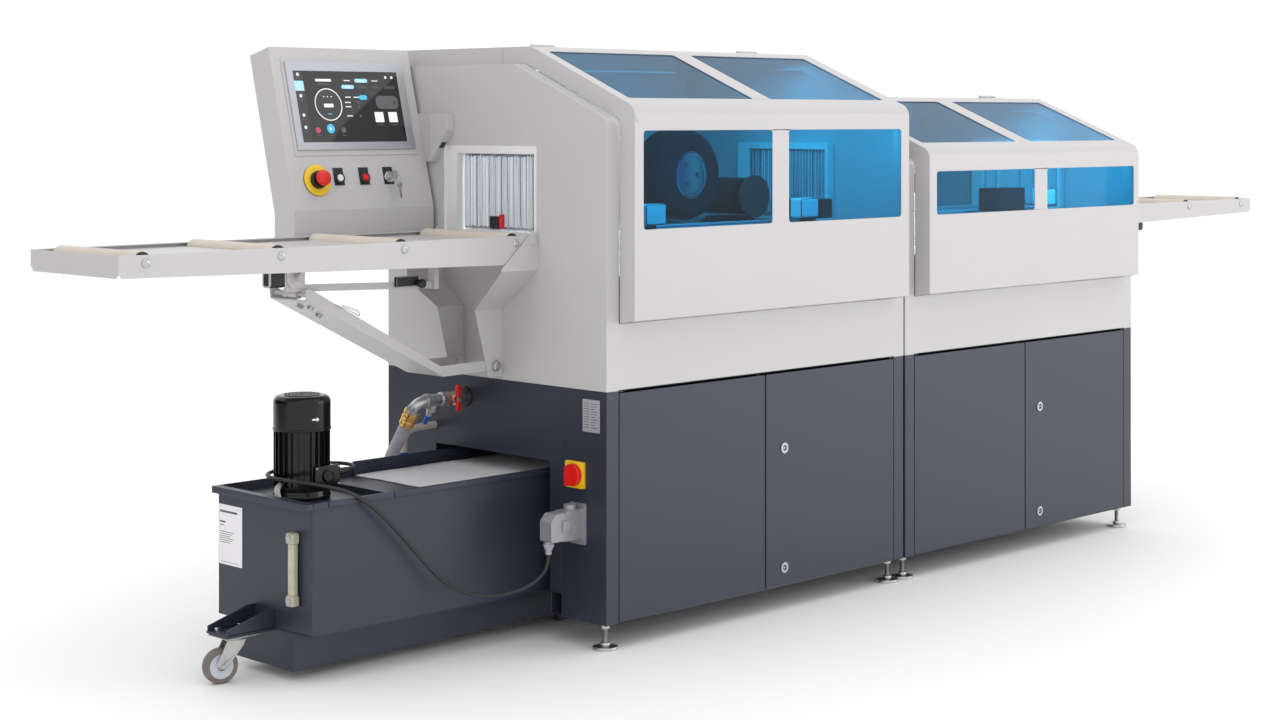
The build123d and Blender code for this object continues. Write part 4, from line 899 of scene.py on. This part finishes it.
def table_hardware(end):
    """Socket screws over each roller axle, on both side plates."""
    heads = []
    for number, x in enumerate(TABLE_ROLLERS):
        for y, out in ((246.4, -1), (611.6, 1)):
            base = place(mirrored(x, end), y - out * 4.6, ROLLER_Z)
            heads.append(button_head(f"{end}_screw_{number}_{out}", base, (0, out, 0), 10.5,
                                     CHROME, f"{end}_table", 6.0))
    joined(f"{end}_table_screws", heads)


def roller_caps(end):
    """Dark bearing ends on each roller."""
    for number, x in enumerate(TABLE_ROLLERS, 1):
        body = f"{end}_roller_{number}"
        caps = []
        for y, out in ((265.3, -1), (592.7, 1)):
            base = place(mirrored(x, end), y, ROLLER_Z)
            profile = [(-1, 24.2), (0.8, 24.2), (1.6, 23), (1.6, 14), (0.6, 13), (0.6, 7.5)]
            caps.append(lathe(f"{body}_cap_{out}", base, (0, out, 0), profile, BLACK, body, 36))
        joined(f"{body}_bearings", caps)


def strut_hardware(end):
    """Three bolts in the channel and a spring clip on its front flange."""
    side = -1 if end == "infeed" else 1
    under = Vector((side * STRUT_SLOPE, 0, -1)).normalized()
    parts = []
    for index, (x, y) in enumerate(STRUT_BOLTS):
        base = place(mirrored(x, end), y, 648 - STRUT_SLOPE * (x + 190))
        parts.append(hex_bolt(f"{end}_channel_bolt_{index}", base, under, 13.4, 9, ZINC,
                              f"{end}_strut"))
    joined(f"{end}_channel_bolts", parts)
    bends = [(-520, 379, 845), (-500, 378, 838), (-470, 377, 824), (-455, 377, 815),
             (-449, 378, 820), (-458, 379, 829), (-478, 379, 834), (-500, 380, 842)]
    points = [place(mirrored(x, end), y, z) for x, y, z in bends]
    clip = wire_tube(f"{end}_spring_clip", points, 1.4, CHROME, f"{end}_strut")


def bracket_hardware(end):
    """Bolt heads of the strut's pivot, outside the two bracket cheeks."""
    bolts = []
    for number, (y, out) in enumerate(((371, -1), (533.5, 1))):
        base = place(mirrored(-24, end), y, 662)
        bolts.append(hex_bolt(f"{end}_pivot_bolt_{number}", base, (0, out, 0), 19, 5, ZINC,
                              "machine"))
    joined(f"{end}_pivot_bolts", bolts)


def under_table(end):
    """Rubber bumper and catch cover as one piece, and the black star knob."""
    body = f"{end}_table"
    covers = []
    for left, right, front, back, low, high, edge in (
            (-700.6, -652.4, 391.4, 420.6, 892.4, 957.5, 7),
            (-332.6, -263.0, 385.4, 396.8, 875.4, 900.6, 3)):
        x0, x1 = sorted((mirrored(left, end), mirrored(right, end)))
        covers.append(block(f"{end}_cover_{edge}", (x0, front, low), (x1, back, high), RUBBER,
                            body, edge))
    bumper = joined(f"{end}_bumper_and_catch", covers)
    knob = lathe(f"{end}_knob", place(mirrored(-264.6, end), 386, 882), (0, -1, 0),
                 [(-2, 7), (0, 9), (4, 9.6), (12, 11.6), (18, 11), (20, 8)], BLACK, body, 10, 50)


for table_end in ("infeed", "outfeed"):
    table_hardware(table_end)
    roller_caps(table_end)
    strut_hardware(table_end)
    bracket_hardware(table_end)
    under_table(table_end)


def make_feet():
    """Turned foot discs and threaded stems over the plain ones."""
    parts = []
    disc = [(0, 30.4), (1, 31.4), (5.5, 31.4), (7.6, 30), (9.4, 20), (11, 12.4), (16.5, 11.6),
            (17, 7)]
    thread = []
    for step in range(22):
        height = 17 + step * 1.5
        thread += [(height, 5.6), (height + 0.75, 6.2)]
    for x in FOOT_X:
        for y in FOOT_Y:
            for kind, profile, segments in (("foot", disc, 48), ("stem", thread, 24)):
                parts.append(lathe(f"{kind}_{x:.0f}_{y:.0f}", place(x, y, 0), (0, 0, 1), profile,
                                   ZINC, "machine", segments))
    joined("foot_discs", parts)


make_feet()


# ---- tank fittings ----
def make_gauge():
    """Level gauge: two clamp blocks with nuts and a clear column with its pale back plate."""
    x = TANK_END
    parts = []
    for z in (178.0, 320.0):
        parts.append(block(f"gauge_block_{z:.0f}", (x - 23, 282, z), (x - 1, 308, z + 25), GAUGE,
                           "tank", 4))
        parts.append(hex_bolt(f"gauge_nut_{z:.0f}", place(x - 22, 295, z + 12.5), (-1, 0, 0), 15, 4,
                              ZINC, "tank"))
    parts.append(block("gauge_back", (x - 3, 287, 200), (x - 0.4, 303, 322), WHITE, "tank", 0.6))
    parts.append(block("gauge_column", (x - 18, 284, 202), (x - 4, 306, 321), GAUGE, "tank", 3))
    joined("level_gauge", parts)


def blank_label(prefix, matrix, size, radius, thickness, material, body, rows):
    """Label of a size in a matrix's plane, with short blank bars for its printed lines."""
    parts = [outline_plate(f"{prefix}_sheet", pill_outline(0, size[0], 0, size[1], radius),
                           thickness, matrix, material, body)]
    for index, row in enumerate(rows):
        parts.append(outline_plate(f"{prefix}_line_{index}", pill_outline(*row, 0.4), 0.12, matrix,
                                   INK, body, thickness))
    return joined(f"{prefix}_label", parts)


def wall_matrix(x, y, z):
    """Plane of an infeed end wall: x to the right as seen from outside, y up, z out of the wall."""
    return plane(place(x, y, z), (0, -1, 0), (0, 0, 1))


def make_labels():
    """Paper label on the tank and rating foil on the end wall."""
    rows = [(4, 26, 98, 102), (4, 20, 91, 93)]
    rows += [(4, 60 - 7 * (step % 3), 76 - 5 * step, 77.4 - 5 * step) for step in range(6)]
    rows += [(6, 78, 6, 7), (4, 74, 122, 127)]
    label = blank_label("tank", wall_matrix(TANK_END - 0.2, 602, 232), (94, 141), 1, 0.3, PAPER,
                        "tank", rows)
    rows = []
    for step in range(10):
        y = 68 - 6.4 * step
        rows += [(4, 24, y, y + 1.6), (28, 54 - 5 * (step % 3), y, y + 1.6)]
    label = blank_label("rating", wall_matrix(-0.2, 82, 525), (60, 79), 2, 0.6, FOIL, "machine",
                        rows)


def make_motor_details():
    """Fan cowl with its vent rings, terminal box cover with screws and boss, arrow mark."""
    x, y = MOTOR
    turned = []
    for radius in (12, 20, 28, 36, 44):
        ring = [(0.0, radius), (1.6, radius - 0.6), (1.6, radius - 3.0), (0.0, radius - 3.6)]
        turned.append((f"cowl_ring_{radius}", 637, ring, 48))
    turned.append(("cowl_rim", 556, [(0, 67.4), (1, 68.4), (5, 68.4), (6, 67.4)], 64))
    turned.append(("motor_flange", 396, [(0, 66), (8, 68), (10, 66), (30, 62)], 64))
    parts = [lathe(name, place(x, y, z), (0, 0, 1), profile, GLOSS_BLACK, "tank", segments)
             for name, z, profile, segments in turned]
    parts.append(block("terminal_lid", (-599, 353, 425), (-527, 362, 475), GLOSS_BLACK, "tank",
                       2.5))
    parts.append(lathe("terminal_boss", place(-563, 353, 450), (0, -1, 0),
                       [(0, 15), (4, 14.4), (5, 12), (3.5, 11), (3.5, 6), (5, 5.4)], GLOSS_BLACK,
                       "tank", 32))
    for dx in (-594, -532):
        for z in (430, 470):
            parts.append(button_head(f"terminal_screw_{dx}_{z}", place(dx, 353, z), (0, -1, 0), 3,
                                     ZINC, "tank", 2))
    joined("motor_details", parts)
    heading = math.radians(262)
    outline = [(-9, -2), (3, -2), (3, -5.5), (9.5, 0), (3, 5.5), (3, 2), (-9, 2)]
    points = []
    for lift in (67.15, 67.5):
        for a, b in outline:
            angle = heading + a / 67
            points.append(place(x + lift * math.cos(angle), y + lift * math.sin(angle), 585 + b))
    arrow = mesh_piece("rotation_arrow", points, tube_faces(2, len(outline)), WHITE, "tank")


def make_sensor_tube():
    """Thin clear tube from the pump, beside the motor."""
    points = [(-664, 400, 396), (-670, 402, 412), (-668, 408, 426), (-652, 418, 432),
              (-648, 424, 430)]
    tube = wire_tube("sensor_tube", [place(*p) for p in points], 7, TRANSPARENT_TUBE, "tank")


def make_caster():
    """Light rim with a hub over the tyre's bore, swivel race and plate bolts."""
    yaw = math.radians(165.6)
    trail = Vector((math.cos(yaw), math.sin(yaw), 0))
    axle = Vector((-trail.y, trail.x, 0))
    centre = place(*CASTER, 40) + trail * 0.0361
    parts = []
    for side in (-1, 1):
        base = centre + axle * side * 0.0095
        profile = [(0, 29.5), (1.4, 29.5), (2.2, 28), (0.8, 22), (0.8, 14), (3.4, 11), (3.4, 5.1)]
        parts.append(lathe(f"wheel_face_{side}", base, axle * side, profile, WHEEL_RIM,
                           "caster_wheel", 48))
    joined("caster_rim_faces", parts)
    race = lathe("swivel_race", place(*CASTER, 97), (0, 0, 1),
                 [(0, 24), (1, 27), (4, 28.5), (6, 27), (7, 22), (11, 21), (11.5, 18)], ZINC,
                 "caster_fork", 48)
    bolts = []
    for dx in (-30, 30):
        for dy in (-24, 24):
            for kind, z, out, tall in (("bolt", 115, 1, 9), ("nut", 109, -1, 6)):
                at = place(CASTER[0] + dx, CASTER[1] + dy, z)
                bolts.append(hex_bolt(f"caster_{kind}_{dx}_{dy}", at, (0, 0, out), 13, tall, CHROME,
                                      "tank"))
    plate = block("caster_plate", (-824, 380, 105.6), (-728, 456, 108.8), ZINC, "tank", 1)
    joined("caster_bolts", bolts + [plate])


make_gauge()
make_labels()
make_motor_details()
make_sensor_tube()
make_caster()


# ---- drain pipework ----
def pipe_piece(name, base, direction, profile, material, segments=40, sharp=35):
    piece = lathe(name, base, direction, profile, material, "machine", segments, sharp)
    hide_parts("drain_pipe")


def make_pipe_run(inward, start):
    """Wall grommet, ringed valve body with its stem seat and beaded tee along the run."""
    flats = [(20, 15), (21, 19.6), (31, 19.6), (32, 16.4), (63, 16.4), (64, 19.6), (75, 19.6),
             (76, 15)]
    tee = [(76, 14), (77, 18.2), (80, 18.9), (84, 18.2), (86, 15.6), (123, 15.6), (125, 18.2),
           (129, 18.9), (133, 18.2), (135, 14)]
    for name, profile, material, *fineness in (
            ("wall_grommet", [(0, 26), (4, 26), (6, 24), (6, 17.4)], BLACK),
            ("wall_bushing", [(1, 16), (6, 17), (19.5, 17), (20, 15)], GALVANISED),
            ("valve_body", flats, GALVANISED, 6, 20),
            ("valve_ring_wall", [(32, 16), (33, 18), (37, 18), (38, 16)], BRASS),
            ("valve_ring_tee", [(57, 16), (58, 18), (62, 18), (63, 16)], BRASS),
            ("pipe_tee", tee, GALVANISED)):
        pipe_piece(name, start, inward, profile, material, *fineness)
    seat = place(VALVE_STEM, *PIPE)
    pipe_piece("stem_seat", seat, (0, -1, 0), [(13, 9.5), (19, 9), (22, 8), (22, 4.5)], GALVANISED)


def make_valve_handle():
    """Red butterfly handle, pinched over its stem nut."""
    face = plane(place(VALVE_STEM, PIPE[0] - 24, PIPE[1] + 3), (1, 0, 0), (0, 0, 1))
    right = []
    for step in range(13):
        t = step / 6 - 1
        tip = math.sqrt(max(0.0, 1 - abs(t) ** 6))
        right.append(((5 + 5 * t * t) * (0.35 + 0.65 * tip), 33 * t))
    outline = right + [(-x, y) for x, y in reversed(right)]
    wing = outline_plate("handle_wing", outline, 9, face, RED, "drain_valve", 0.5, 1.5)
    stem = lathe("handle_stem", place(VALVE_STEM, PIPE[0] - 6, PIPE[1]), (0, -1, 0),
                 [(0, 3.8), (19, 3.8), (19, 7)], RED, "drain_valve", 24)
    nut = hex_bolt("handle_nut", place(VALVE_STEM, PIPE[0] - 33, PIPE[1]), (0, -1, 0), 8, 2.5, ZINC,
                   "drain_valve")
    handle = joined("valve_butterfly", [wing, stem])
    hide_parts("valve_handle")


def make_pipework():
    """Valve run, smooth elbow, brass coupling with cam arms and blue-plugged branch."""
    inward = Vector((-1, 0, 0))
    down = Vector((0, 0.57, -0.82)).normalized()
    make_pipe_run(inward, place(0, *PIPE))
    corner = place(-134, *PIPE)
    bend = [place(-126, *PIPE)]
    for step in range(11):
        turn = step / 10 * math.pi / 2
        bend.append(corner + (inward * math.sin(turn) + down * (1 - math.cos(turn))) * 0.026)
    elbow = wire_tube("pipe_elbow", bend + [bend[-1] + down * 0.003], 15.0, GALVANISED, "machine")
    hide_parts("drain_pipe")
    end = place(-160, *PIPE)
    pipe_piece("elbow_bead", end, down, [(22, 14), (23, 18), (26, 18.6), (29, 18), (30, 14)],
               GALVANISED)
    brass = [(28, 14), (29.5, 18.6), (31, 20.6), (36, 20.6), (37, 18.2), (44, 18.2), (45, 20.4),
             (51, 20.4), (52.4, 17)]
    pipe_piece("brass_coupling", end, down, brass, BRASS)
    for side in (-1, 1):
        arm = end + down * 0.041 + Vector((side * 0.017, 0, 0))
        pipe_piece(f"cam_arm_{side}", arm, (side, 0, 0), [(0, 5), (5, 5), (6, 4)], BRASS, 20)
    fork = place(-98, *PIPE)
    neck = [(10, 13), (20, 14), (21, 17), (24, 17.6), (27, 17), (29, 11.5), (36, 11), (38, 9),
            (45, 9), (46, 7), (52, 7)]
    pipe_piece("pipe_branch", fork, down, neck, GALVANISED, 36)
    plug = [(50, 6), (51, 7.6), (56, 7.6), (57, 6.4), (72, 6.2), (77, 5.4), (78, 4)]
    pipe_piece("blue_plug", fork, down, plug, BLUE, 32)
    make_valve_handle()


def make_return_pipe():
    """Stiff beige pipe from the wall down behind the tank, with a blue ring on it."""
    route = [(0, 640, 486), (-60, 640, 486), (-90, 640, 480), (-104, 640, 462), (-105, 640, 430),
             (-105, 640, 300), (-105, 640, 200)]
    pipe = wire_tube("return_pipe", [place(*p) for p in route], 9.5, BEIGE, "machine")
    ring = lathe("return_pipe_ring", place(-105, 640, 418), (0, 0, 1),
                 [(0, 10), (0.5, 12), (7, 12), (7.5, 10)], BLUE, "machine", 32)


def make_small_openings():
    """Port on the panel neck's nose and small hole in the end wall: black plates of painted shade.
    """
    nose = plane(place(-13, 597, 1212), (1, 0, 0), (0, -0.627, 0.779))
    # Black plate as painted shade of the port's opening.
    port = outline_plate("neck_port", pill_outline(-8, 8, -5, 14, 1), 0.5, nose, BLACK, "machine")
    # Thin black disc as painted shade of the hole's hollow.
    hole = lathe("wall_hole", place(0, 145, 491), (-1, 0, 0), [(0, 3.2), (0.3, 3.2)], BLACK,
                 "machine", 24)


def make_inner_works():
    """What shows through panes and curtain: guide covers, infeed guide, ring of the drive rim."""
    blocks = []
    for x, y in ((236, 100), (832, 100), (1394, 130), (2010, 130)):
        blocks.append(block(f"guide_cover_{x}", (x - 0.6, y - 0.6, 1014.4),
                            (x + 72.6, y + 40.6, 1067.6), WHITE, "machine", 5))
    joined("guide_covers", blocks)
    guide = block("infeed_guide", (3, 396, 1003.4), (19, 430, 1036), BLACK, "machine", 3)
    wedge = block("infeed_guide_tip", (4, 386, 1003.6), (18, 396, 1042), RED, "machine", 4)
    low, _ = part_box("drive_rim")
    hub = place(688, 0, 1129)
    hub.y = low.y
    ring = lathe("rim_ring", hub, (0, -1, 0), [(0, 60), (2, 62), (3.5, 60), (3.5, 53), (0.5, 51)],
                 CHROME, "tyre", 48)
    bolts = [ring]
    for step in range(3):
        turn = 2 * math.pi * step / 3
        at = hub + Vector((math.cos(turn), 0, math.sin(turn))) * 0.029
        bolts.append(hex_bolt(f"rim_bolt_{step}", at, (0, -1, 0), 13, 6, CHROME, "tyre"))
    joined("rim_ring_and_bolts", bolts)


make_pipework()
make_return_pipe()
make_small_openings()
make_inner_works()


size_rows = [list(corner) for corner in (cad_low, cad_high, *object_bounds())]
